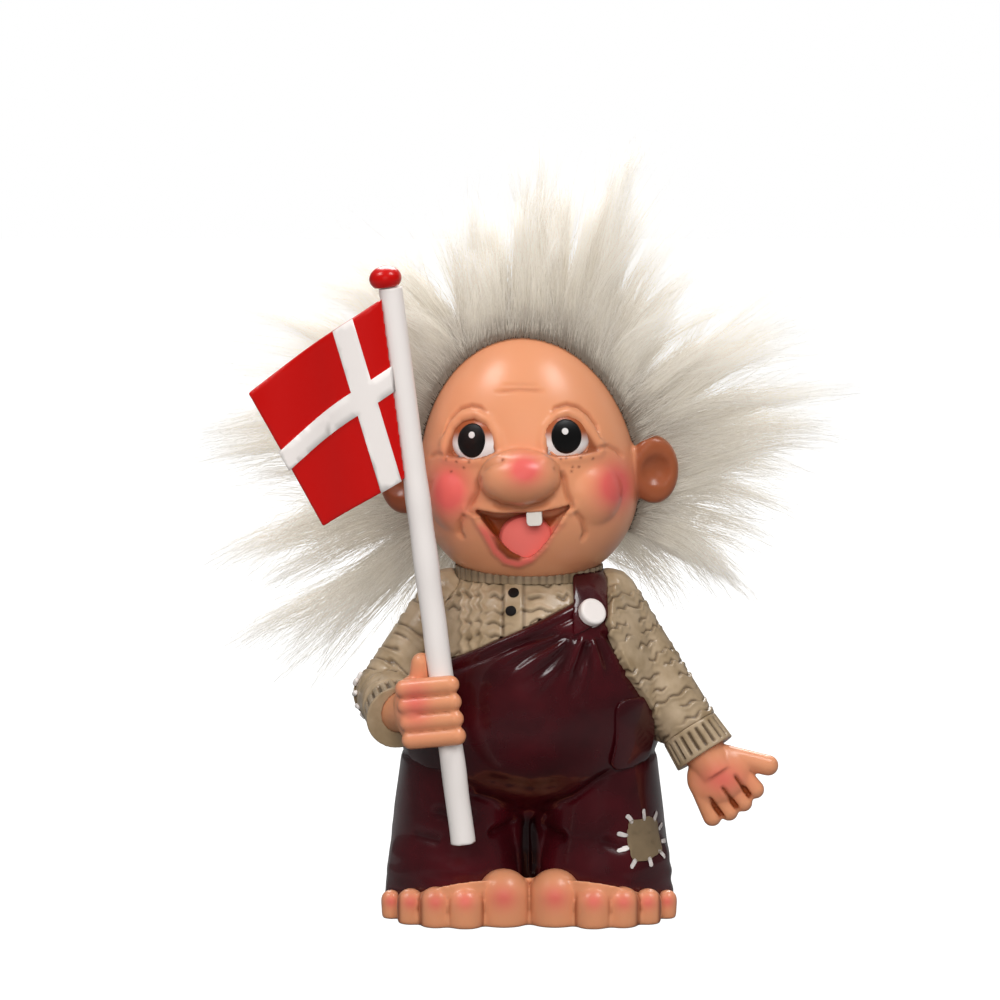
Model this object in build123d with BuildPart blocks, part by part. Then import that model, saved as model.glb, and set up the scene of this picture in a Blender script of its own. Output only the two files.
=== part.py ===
"""Folk troll figure with a flag: a cast and painted resin figure in separate pieces, a fur wig,
and a flag staff that turns in its fist and draws up out of it.

Millimetres and degrees. The figure stands on Z = 0 and faces -Y.
Left and right are the figure's own, so its left is +X.
"""

import os
from math import asin, cos, degrees, pi, radians, sin, sqrt

from build123d import *

os.makedirs("parts", exist_ok=True)

# Trunk: an egg whose widest level is the belly
TRUNK_WIDTH = 57.6
TRUNK_DEPTH = 47.0
TRUNK_BELOW = 22.0
TRUNK_ABOVE = 36.0
BELLY_HEIGHT = 44.0
CLOTH = 0.9  # how far the dungarees stand proud of the sweater
BIB_RISE = 22.0  # belly level to the bib's edge, at the middle
BIB_SLOPE = 23.7

# Trouser legs and feet
LEG_SPREAD = 0.271 * TRUNK_WIDTH  # middle of the figure to the middle of a leg
LEG_WIDTH = 30.2
LEG_DEPTH = TRUNK_DEPTH - 11.0
LEG_WEB = 12.0  # width of the cloth that joins the legs behind the cleft
LEG_WEB_BACK = 3.0  # how far its middle lies behind the figure's
LEG_SINK = 9.0  # belly level to the leg's upper end, inside the trunk
LEG_STEPS = 4
HEM_FLARE = 1.1  # how far the hem stands out all round
HIP_NARROW = 2.4  # how far the leg's upper end is drawn in all round
HEM_BACK = 1.0  # floor to the hem at the heels
HEM_FRONT = 10.4  # floor to the hem above the toes
HEM_TILT = 21.0
HEM_FALL = 8.8  # angle at which a hem falls to the outside
FOOT_WIDTH = 31.0
FOOT_DEPTH = LEG_DEPTH + 3.0
FOOT_FORWARD = 4.0
SOLE_BRIDGE = 27.0  # depth of the web that joins the two feet
TOE_RADII = (5.9, 4.1, 3.6, 3.0, 2.2)  # big toe to little toe
TOE_HEIGHTS = (12.2, 9.2, 8.8, 7.8, 6.4)
TOE_INSET = 1.6  # how far the toes' middles lie inside the foot's rim
TOE_STEP = 0.84  # spacing of neighbouring toes, as a share of their two radii
TOE_MEET = 0.3  # how far each big toe reaches past the middle

# Head: an egg that sinks into the shoulders
HEAD_WIDTH = 48.4
HEAD_DEPTH = 44.0
HEAD_BELOW = 22.2
HEAD_ABOVE = 35.5
NECK_SINK = 8.2
NECK_RADIUS = 6.0
NECK_PLUG = 5.0  # how far the neck's plug reaches below the head
HEAD_LEAN = 3.0  # towards the figure's right
HEAD_TURN = 5.0  # towards the figure's right

# Face, with places as angles from the face's middle and levels from the head's widest level
EYE_AZIMUTH = 27.0
EYE_LEVEL = 13.0
EYE_RADII = (4.7, 4.3, 2.6)
EYE_SINK = 1.2
PUPIL_RADIUS = 3.15
PUPIL_THICKNESS = 0.4
NOSE_LEVEL = 5.0
NOSE_RADII = (9.0, 6.2, 8.0)
CHEEK_AZIMUTH = 44.0
CHEEK_RADIUS = 9.5
CHEEK_SINK = 7.6
MOUTH_HALF_WIDTH = 11.0
MOUTH_LEVEL = -1.4
MOUTH_DIP = 1.5  # how far the upper edge sags at its middle
MOUTH_OPEN = 10.4
MOUTH_TAPER = 0.62  # width halfway down, as a share of the width between the corners
MOUTH_DEPTH = 8.0  # from the face's foremost plane to the back of the mouth
TONGUE_RADII = (4.8, 4.4, 4.8)
TONGUE_RISE = 3.4  # lowest point of the mouth to the tongue's middle
TOOTH_WIDTH = 3.4
TOOTH_LENGTH = 3.0
TOOTH_THICKNESS = 2.2
TOOTH_SIDE = 2.6
TOOTH_CORNER = 0.9
TOOTH_BACK = 1.2  # how far the tooth stands behind the face's foremost plane
EAR_WIDTH = 11.2
EAR_HEIGHT = 15.2
EAR_THICKNESS = 5.0
EAR_ROUND = 0.4  # radius of the ear's edges, as a share of its thickness
EAR_LEVEL = 3.0
EAR_OUT = 3.4  # side of the head to the ear's middle
EAR_SPLAY = 18.0
EAR_HOLLOW = 4.6  # radius of the ball that hollows the ear
EAR_HOLLOW_DEPTH = 1.7

# Wig: the fur's backing on the back of the head, and its tufts
CAP = 1.4
HAIRLINE_FORWARD = 7.0  # hairline in front of the head's axis, at the crown
HAIRLINE_TILT = 12.5
NAPE_LEVEL = -11.0
TUFT_DEPTH = 3.4  # half-thickness of a tuft at its root
TUFT_ROOT = 3.0  # how far a tuft starts inside the backing
TUFT_STATIONS = ((0.0, 1.0), (0.45, 1.5), (0.8, 1.05), (1.0, 0.25))  # share of length, share of size

# Each tuft: clock angle and setback of its root, clock angle of its growth there and how far that turns
# to the tip, setback of the growth, length and half-width. A clock angle is as seen from the front,
# 0 up and 90 to the figure's left. Setback is towards the back. A tuft gives way to the one before it.
TUFTS = {
    "hair_top_right": (-12, 14, -6, 14, 14, 26, 3.6),
    "hair_top_middle": (6, 14, 4, 8, 12, 34, 3.8),
    "hair_top_left": (24, 14, 10, 14, 10, 41, 3.8),
    "hair_upper_left": (42, 14, 18, 40, 14, 28, 3.8),
    "hair_left_high": (59, 14, 46, 30, 12, 41, 3.6),
    "hair_left_middle": (76, 14, 62, 36, 14, 44, 3.6),
    "hair_left_low": (92, 33, 76, 48, 18, 38, 3.4),
    "hair_left_drop": (111, 36, 104, 40, 22, 36, 3.2),
    "hair_left_nape": (130, 44, 132, 34, 30, 30, 3.0),
    "hair_upper_right": (-31, 14, -24, -56, 12, 35, 4.0),
    "hair_right_high": (-50, 14, -42, -54, 10, 43, 4.0),
    "hair_right_middle": (-69, 14, -66, -44, 12, 47, 4.0),
    "hair_right_low": (-89, 33, -102, -22, 16, 55, 3.4),
    "hair_right_drop": (-109, 36, -122, -20, 18, 56, 3.3),
    "hair_right_nape": (-128, 44, -142, -18, 26, 44, 3.2),
    "hair_crown_back": (0, 42, 2, 0, 44, 28, 4.6),
    "hair_crown_left": (38, 44, 40, 12, 42, 28, 4.4),
    "hair_crown_right": (-38, 44, -40, -12, 42, 28, 4.4),
    "hair_back_left": (78, 52, 78, 14, 50, 28, 4.4),
    "hair_back_right": (-78, 52, -78, -14, 50, 30, 4.4),
    "hair_back_middle": (0, 74, 0, 0, 72, 26, 4.8),
    "hair_back_low": (180, 72, 180, 0, 58, 28, 3.6),
    "hair_low_left": (118, 64, 118, 14, 50, 28, 3.4),
    "hair_low_right": (-118, 64, -118, -14, 50, 30, 3.4),
}

# Arms, as steps from the shoulder's middle to the elbow and the wrist
SLEEVE_RADIUS = 6.6
SHOULDER_LEVEL = 25.0  # above the belly level
SHOULDER_SINK = 3.5  # how far the shoulder's middle lies inside the trunk
SHOULDER_RADIUS = 7.2
TENON_RADIUS = 3.0
TENON_LENGTH = 6.0
LEFT_ARM = Vector(21.5, -9.0, -32.8)
RIGHT_UPPER_ARM = Vector(-14.3, -7.0, -19.5)
CUFF_LENGTH = 6.5
CUFF_PROUD = 0.5
WRIST_RADIUS = 4.6
WRIST_PLUG = 4.0  # how far a hand's plug reaches into its cuff

# Hands: the open left hand in its wrist's frame, and the right fist in the staff's frame
PALM_RADII = (7.2, 3.4, 6.4)
PALM_REACH = 5.4  # wrist to the palm's middle
FINGERS = 4
FINGER_RADIUS = 2.05
FINGER_STEP = 3.75
FINGER_REACH = 14.0  # wrist to the middle fingers' tips' centres
FINGER_GATHER = 0.8  # spacing of the knuckles, as a share of the fingertips' spacing
FINGER_SHIFT = 0.7  # how far the open fingers are shifted from the thumb
FINGER_CURL = 1.6
THUMB_RADIUS = 2.3
THUMB_OUT = 10.2
THUMB_REACH = 9.6
FIST_TO_WRIST = Vector(-10.2, 6.5, -3.2)
FIST_BACK = Vector(-6.6, 1.0, 0.0)  # staff's axis to the middle of the back of the hand
FIST_RADII = (4.6, 5.4, 7.8)
GRIP_BACK = 3.6  # staff's axis to the middle of the palm behind it
GRIP_RADII = (6.4, 3.6, 7.0)
KNUCKLE_OUT = 8.2  # staff's axis to the knuckles
FINGERTIP = 1.8  # staff's axis to the fingertips' centres
FIST_THUMB_RISE = 10.2

# Flag staff, which leans towards the figure's right
STAFF_DIAMETER = 5.5
STAFF_LENGTH = 122.0
STAFF_LEAN = 7.3
FIST_ON_STAFF = 30.0  # foot of the staff to the middle of the fist
FIST_SIDE = 18.2
FIST_RISE = 5.6  # above the belly level
FIST_STANDOFF = 4.6  # dungarees' front to the staff's axis
GRIP_CLEARANCE = 0.05
FINIAL_DIAMETER = 7.0
FINIAL_HEIGHT = 4.6
FINIAL_ASIDE = 0.8  # how far it sits to the flag's side
FINIAL_SEAT = 0.7  # how far its ball is cut off below its middle, as a share of its half-height

# Flag, in the staff's frame: distances out from the staff's axis and down from its top
FLAG_THICKNESS = 2.2
CROSS_RELIEF = 0.3
FLAG_CLEARANCE = 0.05
FLAG_TOP = 1.2
FLAG_HOIST = 39.2
FLAG_FLY = 33.2
FLAG_DROOP = 16.1  # upper outer corner below the hoist's top
FLAG_END = 31.8  # upper outer corner to the lower one, down the staff
FLAG_TUCK = 12.1  # the same, towards the staff
FLAG_WAVE = 2.0
FLAG_SPARE = 1.7  # how far the sheet runs past the fly before it is cut
BAR = 4.9  # width of the cross's bars
BAR_OUT = 12.2  # upright bar, from the staff's axis at the flag's top
BAR_TUCK = 7.4  # how much nearer the staff it is at the flag's bottom
BAR_DOWN = 17.4  # level bar, from the hoist's top
BAR_DROOP = 16.0  # how far it falls to the outer edge

# Small pieces
STRAP_WIDTH = 7.6
STRAP_THICKNESS = 1.7
STRAP_SIDE = 13.4
STRAP_OVERLAP = 6.0  # how far the strap comes down over the bib
BUTTON_DIAMETER = 6.2
BUTTON_THICKNESS = 1.7
BUTTON_SHANK = 0.85  # how far it reaches down into the strap
BUTTON_EDGE = 0.55  # rounding of its rim
BUTTON_ABOVE_BIB = 3.6
SHIRT_BUTTON_DIAMETER = 2.4
SHIRT_BUTTON_HEIGHT = 0.8
SHIRT_BUTTON_AZIMUTH = -11.0
SHIRT_BUTTON_LEVELS = (28.4, 24.8)
POCKET_WIDTH = 12.5
POCKET_HEIGHT = 16.0
POCKET_CORNER = 3.0
POCKET_THICKNESS = 1.0
POCKET_AZIMUTH = 52.0
POCKET_LEVEL = -2.4
PATCH_SIZE = 9.6
PATCH_CORNER = 1.5
PATCH_THICKNESS = 0.6
STITCHES = 10
STITCH_RADIUS = 0.6
STITCH_LENGTH = 1.7  # between the centres of its round ends
STITCH_LIFT = 0.45  # height of its middle above the cloth
STITCH_GAP = 0.1
ELBOW_PATCH = 7.6
KNEE_AZIMUTH = 42.0
KNEE_HEIGHT = 18.0
ELBOW_AZIMUTH = -112.0
ELBOW_RISE = -14.0
COLLAR_RADIUS = 16.4
COLLAR_WIDTH = 4.0
COLLAR_RISE = 2.4  # lowest point of the head to the collar's lower edge
COLLAR_HEIGHT = 3.0


def unit(azimuth, rise=0.0):
    """The direction at this angle from the front, -Y, towards the figure's left, and this angle up."""
    a, e = radians(azimuth), radians(rise)
    return Vector(sin(a) * cos(e), -cos(a) * cos(e), sin(e))


def clock(angle, setback):
    """The direction at this clock angle in the front view, 0 up and 90 to +X, turned back by setback."""
    c, b = radians(angle), radians(setback)
    return Vector(sin(c) * cos(b), sin(b), cos(c) * cos(b))


class Egg:
    """Elliptical in plan, with a low half-ellipse below its widest level and a taller one above."""

    def __init__(self, width, depth, below, above):
        self.half_width = width / 2
        self.half_depth = depth / 2
        self.below = below
        self.above = above

    def grown(self, by):
        """The egg with every radius longer by this much."""
        width, depth = 2 * (self.half_width + by), 2 * (self.half_depth + by)
        return Egg(width, depth, self.below + by, self.above + by)

    def solid(self):
        with BuildPart() as egg:
            with BuildSketch(Plane.XZ):
                with BuildLine():
                    EllipticalCenterArc((0, 0), self.half_width, self.below, -90, arc_size=90)
                    EllipticalCenterArc((0, 0), self.half_width, self.above, 0, arc_size=90)
                    Line((0, self.above), (0, -self.below))
                make_face()
            revolve(axis=Axis.Z)
            scale(by=(1, self.half_depth / self.half_width, 1), about=(0, 0, 0))
        return egg.part

    def share(self, level):
        """The plan's size at this level, as a share of the widest."""
        height = self.above if level > 0 else self.below
        return sqrt(1 - (level / height) ** 2)

    def seat(self, azimuth, level):
        """The plane that touches the egg at this azimuth and level, with its normal outwards."""
        out = unit(azimuth) * self.share(level)
        return self.touching(Vector(self.half_width * out.X, self.half_depth * out.Y, level))

    def towards(self, direction):
        """The plane that touches the egg where a ray from its middle leaves it."""
        height = self.above if direction.Z > 0 else self.below
        square = (direction.X / self.half_width) ** 2
        square += (direction.Y / self.half_depth) ** 2 + (direction.Z / height) ** 2
        return self.touching(direction / sqrt(square))

    def touching(self, point):
        height = self.above if point.Z > 0 else self.below
        normal = Vector(point.X / self.half_width**2, point.Y / self.half_depth**2, point.Z / height**2)
        return Plane(origin=point, x_dir=Vector(0, 0, 1).cross(normal), z_dir=normal)


def ellipsoid(radii, place):
    """A solid with these half-sizes along its place's own axes."""
    with BuildPart() as solid:
        Sphere(1)
        scale(by=radii, about=(0, 0, 0))
    return solid.part.moved(place)


def toe(radius, height):
    """A round-topped toe that stands on the floor."""
    with BuildPart() as solid:
        with BuildSketch(Plane.XZ):
            with BuildLine():
                Line((0, 0), (radius, 0))
                Line((radius, 0), (radius, height - radius))
                CenterArc((0, height - radius), radius, 0, 90)
                Line((0, height), (0, 0))
            make_face()
        revolve(axis=Axis.Z)
    return solid.part


def capsule(start, end, radius):
    """A round-ended rod, with its ends' centres at these points."""
    length = (end - start).length
    with BuildPart() as solid:
        with BuildSketch(Plane.XZ):
            with BuildLine():
                CenterArc((0, 0), radius, -90, 90)
                Line((radius, 0), (radius, length))
                CenterArc((0, length), radius, 0, 90)
                Line((0, length + radius), (0, -radius))
            make_face()
        revolve(axis=Axis.Z)
    return solid.part.moved(Plane(origin=start, z_dir=end - start).location)


def rod(start, end, radius, end_radius=None):
    """A round rod between two points, straight or tapered."""
    length = (end - start).length
    with BuildPart() as solid:
        with BuildSketch():
            Circle(radius)
        with BuildSketch(Plane.XY.offset(length)):
            Circle(end_radius or radius)
        loft()
    return solid.part.moved(Plane(origin=start, z_dir=end - start).location)


def without(part, *others):
    """The part with the others cut out of it."""
    with BuildPart() as solid:
        add(part)
        for other in others:
            add(other, mode=Mode.SUBTRACT)
    return solid.part


def shared(part, *others):
    """What the part has in common with all the others."""
    with BuildPart() as solid:
        add(part)
        for other in others:
            add(other, mode=Mode.INTERSECT)
    return solid.part


def prism(plane, width, height, corner, reach):
    """A rounded bar through a plane, this far to both sides of it."""
    with BuildPart() as solid:
        with BuildSketch(plane):
            RectangleRounded(width, height, corner)
        extrude(amount=reach, both=True)
    return solid.part


def stitch_ring(point_at, rim_at):
    """Stitches that stand out from a patch's rim, each between two points that point_at gives."""
    stitches = []
    for number in range(STITCHES):
        turn = 2 * pi * (number + 0.5) / STITCHES
        inner = rim_at(turn) + STITCH_RADIUS + STITCH_GAP
        ends = [point_at(reach * cos(turn), reach * sin(turn)) for reach in (inner, inner + STITCH_LENGTH)]
        stitches.append(capsule(*ends, STITCH_RADIUS))
    return stitches


def keep(part, name):
    """Labels a piece and writes it out."""
    part.label = name
    export_step(part, f"parts/{name}.step")


# Trunk, its bib and the head's frame, which the pieces below share
trunk = Egg(TRUNK_WIDTH, TRUNK_DEPTH, TRUNK_BELOW, TRUNK_ABOVE)
trunk_cloth = trunk.grown(CLOTH)
TRUNK_PLACE = Location((0, 0, BELLY_HEIGHT))
bib_normal = Vector(-sin(radians(BIB_SLOPE)), 0, cos(radians(BIB_SLOPE)))
bib_plane = Plane(origin=(0, 0, BELLY_HEIGHT + BIB_RISE), z_dir=bib_normal)
trunk_solid = trunk.solid().moved(TRUNK_PLACE)

HEAD_HEIGHT = BELLY_HEIGHT + TRUNK_ABOVE - NECK_SINK + HEAD_BELOW
HEAD_PLACE = Location((0, 0, HEAD_HEIGHT), (0, -HEAD_LEAN, -HEAD_TURN))
head_egg = Egg(HEAD_WIDTH, HEAD_DEPTH, HEAD_BELOW, HEAD_ABOVE)
head_solid = head_egg.solid()


# Dungarees: the lower trunk up to a slanting bib, and two flared legs
def leg_flare(level):
    """How far the leg stands out at this level: most at the hem, drawn in at the hip."""
    rise = (level - HEM_BACK) / (BELLY_HEIGHT - LEG_SINK - HEM_BACK)
    return HEM_FLARE * (1 - rise) ** 2 - HIP_NARROW * rise**2


def leg(side, grow=0.0):
    """One trouser leg from the hem up into the belly."""
    top = BELLY_HEIGHT - LEG_SINK
    with BuildPart() as trouser:
        for step in range(LEG_STEPS + 1):
            level = HEM_BACK + (top - HEM_BACK) * step / LEG_STEPS
            flare = leg_flare(level)
            with BuildSketch(Plane.XY.offset(level)):
                with Locations((side * LEG_SPREAD, 0)):
                    Ellipse(LEG_WIDTH / 2 + flare + grow, LEG_DEPTH / 2 + flare + grow)
        loft()
        split(bisect_by=hem_plane(side), keep=Keep.TOP)
    return trouser.part


def hem_plane(side):
    """The plane of one leg's hem, which rises to the front and falls to the outside."""
    tilt, fall = radians(HEM_TILT), radians(HEM_FALL)
    inner = (side * (LEG_SPREAD - LEG_WIDTH / 2), -LEG_DEPTH / 2, HEM_FRONT)
    return Plane(origin=inner, z_dir=(side * sin(fall), sin(tilt), cos(tilt) * cos(fall)))


with BuildPart() as leg_web:
    with BuildSketch(Plane.XY.offset(HEM_BACK)):
        with Locations((0, LEG_WEB_BACK)):
            Ellipse(LEG_WEB / 2, LEG_DEPTH / 2 - LEG_WEB_BACK)
    extrude(amount=BELLY_HEIGHT - LEG_SINK - HEM_BACK)
    for side in (-1, 1):
        split(bisect_by=hem_plane(side), keep=Keep.TOP)
with BuildPart() as dungarees:
    add(trunk_cloth.solid().moved(TRUNK_PLACE))
    split(bisect_by=bib_plane, keep=Keep.BOTTOM)
    add(leg_web.part)
    add(leg(-1))
    add(leg(1))

# Feet: one casting with a flat sole and ten round toes
with BuildPart() as feet:
    with BuildSketch():
        with Locations((-LEG_SPREAD, -FOOT_FORWARD), (LEG_SPREAD, -FOOT_FORWARD)):
            Ellipse(FOOT_WIDTH / 2, FOOT_DEPTH / 2)
        with Locations((0, -FOOT_FORWARD)):
            Rectangle(2 * LEG_SPREAD, SOLE_BRIDGE)
    extrude(amount=HEM_FRONT)
    for side in (-1, 1):
        split(bisect_by=hem_plane(side), keep=Keep.BOTTOM)
    for side in (-1, 1):
        reach = TOE_RADII[0] - TOE_MEET
        for number, radius in enumerate(TOE_RADII):
            if number:
                reach += TOE_STEP * (TOE_RADII[number - 1] + radius)
            along = (reach - LEG_SPREAD) / (FOOT_WIDTH / 2 + TOE_INSET)
            rim = FOOT_DEPTH / 2 * sqrt(max(0.0, 1 - along**2)) - TOE_INSET
            toe_at = Location((side * reach, -FOOT_FORWARD - rim, 0))
            add(toe(radius, TOE_HEIGHTS[number]).moved(toe_at))
    add(dungarees.part, mode=Mode.SUBTRACT)

# Head: egg, nose, cheeks, ears, eye sockets, an open mouth and a neck plug, in the head's own frame
face_plane = Plane.XZ.offset(HEAD_DEPTH / 2)
with BuildPart() as mouth:
    with BuildSketch(face_plane):
        with BuildLine():
            upper = ThreePointArc(
                (-MOUTH_HALF_WIDTH, MOUTH_LEVEL),
                (0, MOUTH_LEVEL - MOUTH_DIP),
                (MOUTH_HALF_WIDTH, MOUTH_LEVEL),
            )
            halfway = MOUTH_LEVEL - MOUTH_DIP / 2 - MOUTH_OPEN / 2
            Spline(
                upper @ 1,
                (MOUTH_HALF_WIDTH * MOUTH_TAPER, halfway),
                (0, MOUTH_LEVEL - MOUTH_DIP - MOUTH_OPEN),
                (-MOUTH_HALF_WIDTH * MOUTH_TAPER, halfway),
                upper @ 0,
            )
        make_face()
    extrude(amount=MOUTH_DEPTH, both=True)


def eye_place(side):
    """The eye's own frame: its middle, a little under the face, and its outward direction."""
    return head_egg.seat(side * EYE_AZIMUTH, EYE_LEVEL).offset(-EYE_SINK).location


# A flattened ear stands out from each side of the head, hollowed at its front
ear_at = Vector(HEAD_WIDTH / 2 + EAR_OUT, 0, EAR_LEVEL)
ear_plane = Plane(origin=ear_at, x_dir=unit(EAR_SPLAY + 90), z_dir=unit(EAR_SPLAY))
with BuildPart() as ears:
    with BuildSketch(ear_plane):
        Ellipse(EAR_WIDTH / 2, EAR_HEIGHT / 2)
    extrude(amount=EAR_THICKNESS / 2, both=True)
    fillet(ears.edges(), EAR_THICKNESS * EAR_ROUND)
    with Locations(ear_plane.offset(EAR_THICKNESS / 2 + EAR_HOLLOW - EAR_HOLLOW_DEPTH).origin):
        Sphere(EAR_HOLLOW, mode=Mode.SUBTRACT)
    mirror(about=Plane.YZ)

with BuildPart() as head:
    add(head_solid)
    for side in (-1, 1):
        with Locations(head_egg.seat(side * CHEEK_AZIMUTH, 0).offset(-CHEEK_SINK).origin):
            Sphere(CHEEK_RADIUS)
    add(mouth.part, mode=Mode.SUBTRACT)
    for side in (-1, 1):
        add(ellipsoid(EYE_RADII, eye_place(side)), mode=Mode.SUBTRACT)
    add(ears.part)
    add(ellipsoid(NOSE_RADII, head_egg.seat(0, NOSE_LEVEL).location))
    add(rod(Vector(0, 0, 0), Vector(0, 0, -HEAD_BELOW - NECK_PLUG), NECK_RADIUS))
head_placed = head.part.moved(HEAD_PLACE)

for side, name in ((-1, "right"), (1, "left")):
    eye = ellipsoid(EYE_RADII, eye_place(side))
    painted = tuple(radius + PUPIL_THICKNESS for radius in EYE_RADII)
    eye_front = Plane(eye_place(side))
    with BuildPart() as pupil:
        with BuildSketch(eye_front):
            Circle(PUPIL_RADIUS)
        extrude(amount=EYE_RADII[2] + PUPIL_THICKNESS)
        add(ellipsoid(painted, eye_place(side)), mode=Mode.INTERSECT)
        add(eye, mode=Mode.SUBTRACT)
        add(head.part, mode=Mode.SUBTRACT)
    keep(eye.moved(HEAD_PLACE), f"{name}_eye")
    keep(pupil.part.moved(HEAD_PLACE), f"{name}_pupil")

# Tongue and tooth, seated in the mouth
mouth_floor = MOUTH_LEVEL - MOUTH_DIP - MOUTH_OPEN
tongue_at = Location((0, MOUTH_DEPTH - HEAD_DEPTH / 2, mouth_floor + TONGUE_RISE))
tongue = shared(ellipsoid(TONGUE_RADII, tongue_at), mouth.part)
with BuildPart() as tooth:
    with BuildSketch(face_plane.offset(-TOOTH_BACK)):
        with Locations((TOOTH_SIDE, MOUTH_LEVEL - MOUTH_DIP)):
            RectangleRounded(TOOTH_WIDTH, 2 * TOOTH_LENGTH, TOOTH_CORNER)
    extrude(amount=-TOOTH_THICKNESS)
    add(mouth.part, mode=Mode.INTERSECT)
keep(tongue.moved(HEAD_PLACE), "tongue")
keep(tooth.part.moved(HEAD_PLACE), "tooth")
keep(head_placed, "head")

# Wig: a fur backing behind the hairline, and tapering tufts that grow out of it
cap_egg = head_egg.grown(CAP)
cap_solid = cap_egg.solid()
tilt = radians(HAIRLINE_TILT)
hairline = Plane(origin=(0, -HAIRLINE_FORWARD, HEAD_ABOVE), z_dir=(0, cos(tilt), sin(tilt)))
with BuildPart() as wig_cap:
    add(cap_solid)
    split(bisect_by=hairline, keep=Keep.TOP)
    split(bisect_by=Plane.XY.offset(NAPE_LEVEL), keep=Keep.TOP)
    add(head.part, mode=Mode.SUBTRACT)
keep(wig_cap.part.moved(HEAD_PLACE), "wig_cap")

tuft_before = []
for name, (root_clock, root_back, grow_clock, turn, grow_back, length, half_width) in TUFTS.items():
    root = cap_egg.towards(clock(root_clock, root_back)).origin
    with BuildPart() as tuft:
        for along, size in TUFT_STATIONS:
            chord = clock(grow_clock + turn * along / 2, grow_back)
            growth = clock(grow_clock + turn * along, grow_back)
            middle = root + chord * ((length + TUFT_ROOT) * along - TUFT_ROOT)
            with BuildSketch(Plane(origin=middle, x_dir=growth.cross(Vector(0, 1, 0)), z_dir=growth)):
                Ellipse(half_width * size, TUFT_DEPTH * size)
        loft()
        for other in (cap_solid, head.part, *tuft_before):
            add(other, mode=Mode.SUBTRACT)
    tuft_before = [tuft.part]
    keep(tuft.part.moved(HEAD_PLACE), name)

# Sleeves, with the tenons that plug into the shoulders
shoulder_out = trunk.half_width * trunk.share(SHOULDER_LEVEL) - SHOULDER_SINK
left_shoulder = Vector(shoulder_out, 0, BELLY_HEIGHT + SHOULDER_LEVEL)
right_shoulder = Vector(-shoulder_out, 0, BELLY_HEIGHT + SHOULDER_LEVEL)
left_wrist = left_shoulder + LEFT_ARM
right_elbow = right_shoulder + RIGHT_UPPER_ARM

lean = radians(STAFF_LEAN)
staff_axis = Vector(-sin(lean), 0, cos(lean))
staff_side = Vector(cos(lean), 0, sin(lean))
fist_front = trunk_cloth.half_depth + FIST_STANDOFF
fist_at = Vector(-FIST_SIDE, -fist_front, BELLY_HEIGHT + FIST_RISE)
staff_foot = fist_at - staff_axis * FIST_ON_STAFF
right_wrist = fist_at + FIST_TO_WRIST

left_cuff_start = left_wrist - LEFT_ARM.normalized() * CUFF_LENGTH
forearm = (right_wrist - right_elbow).normalized()
right_cuff_start = right_wrist - forearm * CUFF_LENGTH
strap_egg = trunk.grown(STRAP_THICKNESS)


def tenon(shoulder, inwards):
    """The plug that runs from inside a sleeve's shoulder straight into the trunk."""
    start = shoulder - inwards * (SHOULDER_SINK + SHOULDER_RADIUS) / 2
    return rod(start, shoulder + inwards * TENON_LENGTH, TENON_RADIUS)


left_tenon = tenon(left_shoulder, Vector(-1, 0, 0))
right_tenon = tenon(right_shoulder, Vector(1, 0, 0))

# Sweater: the upper trunk, with sockets for the neck and the sleeves
with BuildPart() as sweater_body:
    add(trunk_solid)
    split(bisect_by=bib_plane, keep=Keep.TOP)
    add(head_placed, mode=Mode.SUBTRACT)
    add(left_tenon, mode=Mode.SUBTRACT)
    add(right_tenon, mode=Mode.SUBTRACT)

# Shoulder strap: a band over the left shoulder, from bib to bib
with BuildPart() as shoulder_strap:
    with BuildSketch():
        with Locations((STRAP_SIDE, 0)):
            Rectangle(STRAP_WIDTH, 2 * TRUNK_DEPTH)
    extrude(amount=HEAD_HEIGHT)
    add(strap_egg.solid().moved(TRUNK_PLACE), mode=Mode.INTERSECT)
    split(bisect_by=bib_plane.offset(-STRAP_OVERLAP), keep=Keep.TOP)
    add(trunk_solid, mode=Mode.SUBTRACT)
    add(dungarees.part, mode=Mode.SUBTRACT)
    add(head_placed, mode=Mode.SUBTRACT)

# Strap button, seated on the strap above the bib's edge
button_level = BIB_RISE + STRAP_SIDE * sin(radians(BIB_SLOPE)) / cos(radians(BIB_SLOPE)) - BUTTON_ABOVE_BIB
button_azimuth = degrees(asin(STRAP_SIDE / (strap_egg.half_width * strap_egg.share(button_level))))
button_seat = Plane(TRUNK_PLACE * strap_egg.seat(button_azimuth, button_level).location)
with BuildPart() as strap_button:
    with BuildSketch(button_seat.offset(-BUTTON_SHANK)):
        Circle(BUTTON_DIAMETER / 2)
    extrude(amount=BUTTON_SHANK + BUTTON_THICKNESS)
    fillet(strap_button.edges().filter_by(GeomType.CIRCLE).sort_by(Axis.Y)[0], BUTTON_EDGE)
    add(shoulder_strap.part, mode=Mode.SUBTRACT)
    add(dungarees.part, mode=Mode.SUBTRACT)

with BuildPart() as shirt_buttons:
    for level in SHIRT_BUTTON_LEVELS:
        seat = Plane(TRUNK_PLACE * trunk.seat(SHIRT_BUTTON_AZIMUTH, level).location)
        with BuildSketch(seat.offset(-SHIRT_BUTTON_HEIGHT)):
            Circle(SHIRT_BUTTON_DIAMETER / 2)
        extrude(amount=2 * SHIRT_BUTTON_HEIGHT)
    add(sweater_body.part, mode=Mode.SUBTRACT)
    add(dungarees.part, mode=Mode.SUBTRACT)

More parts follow.
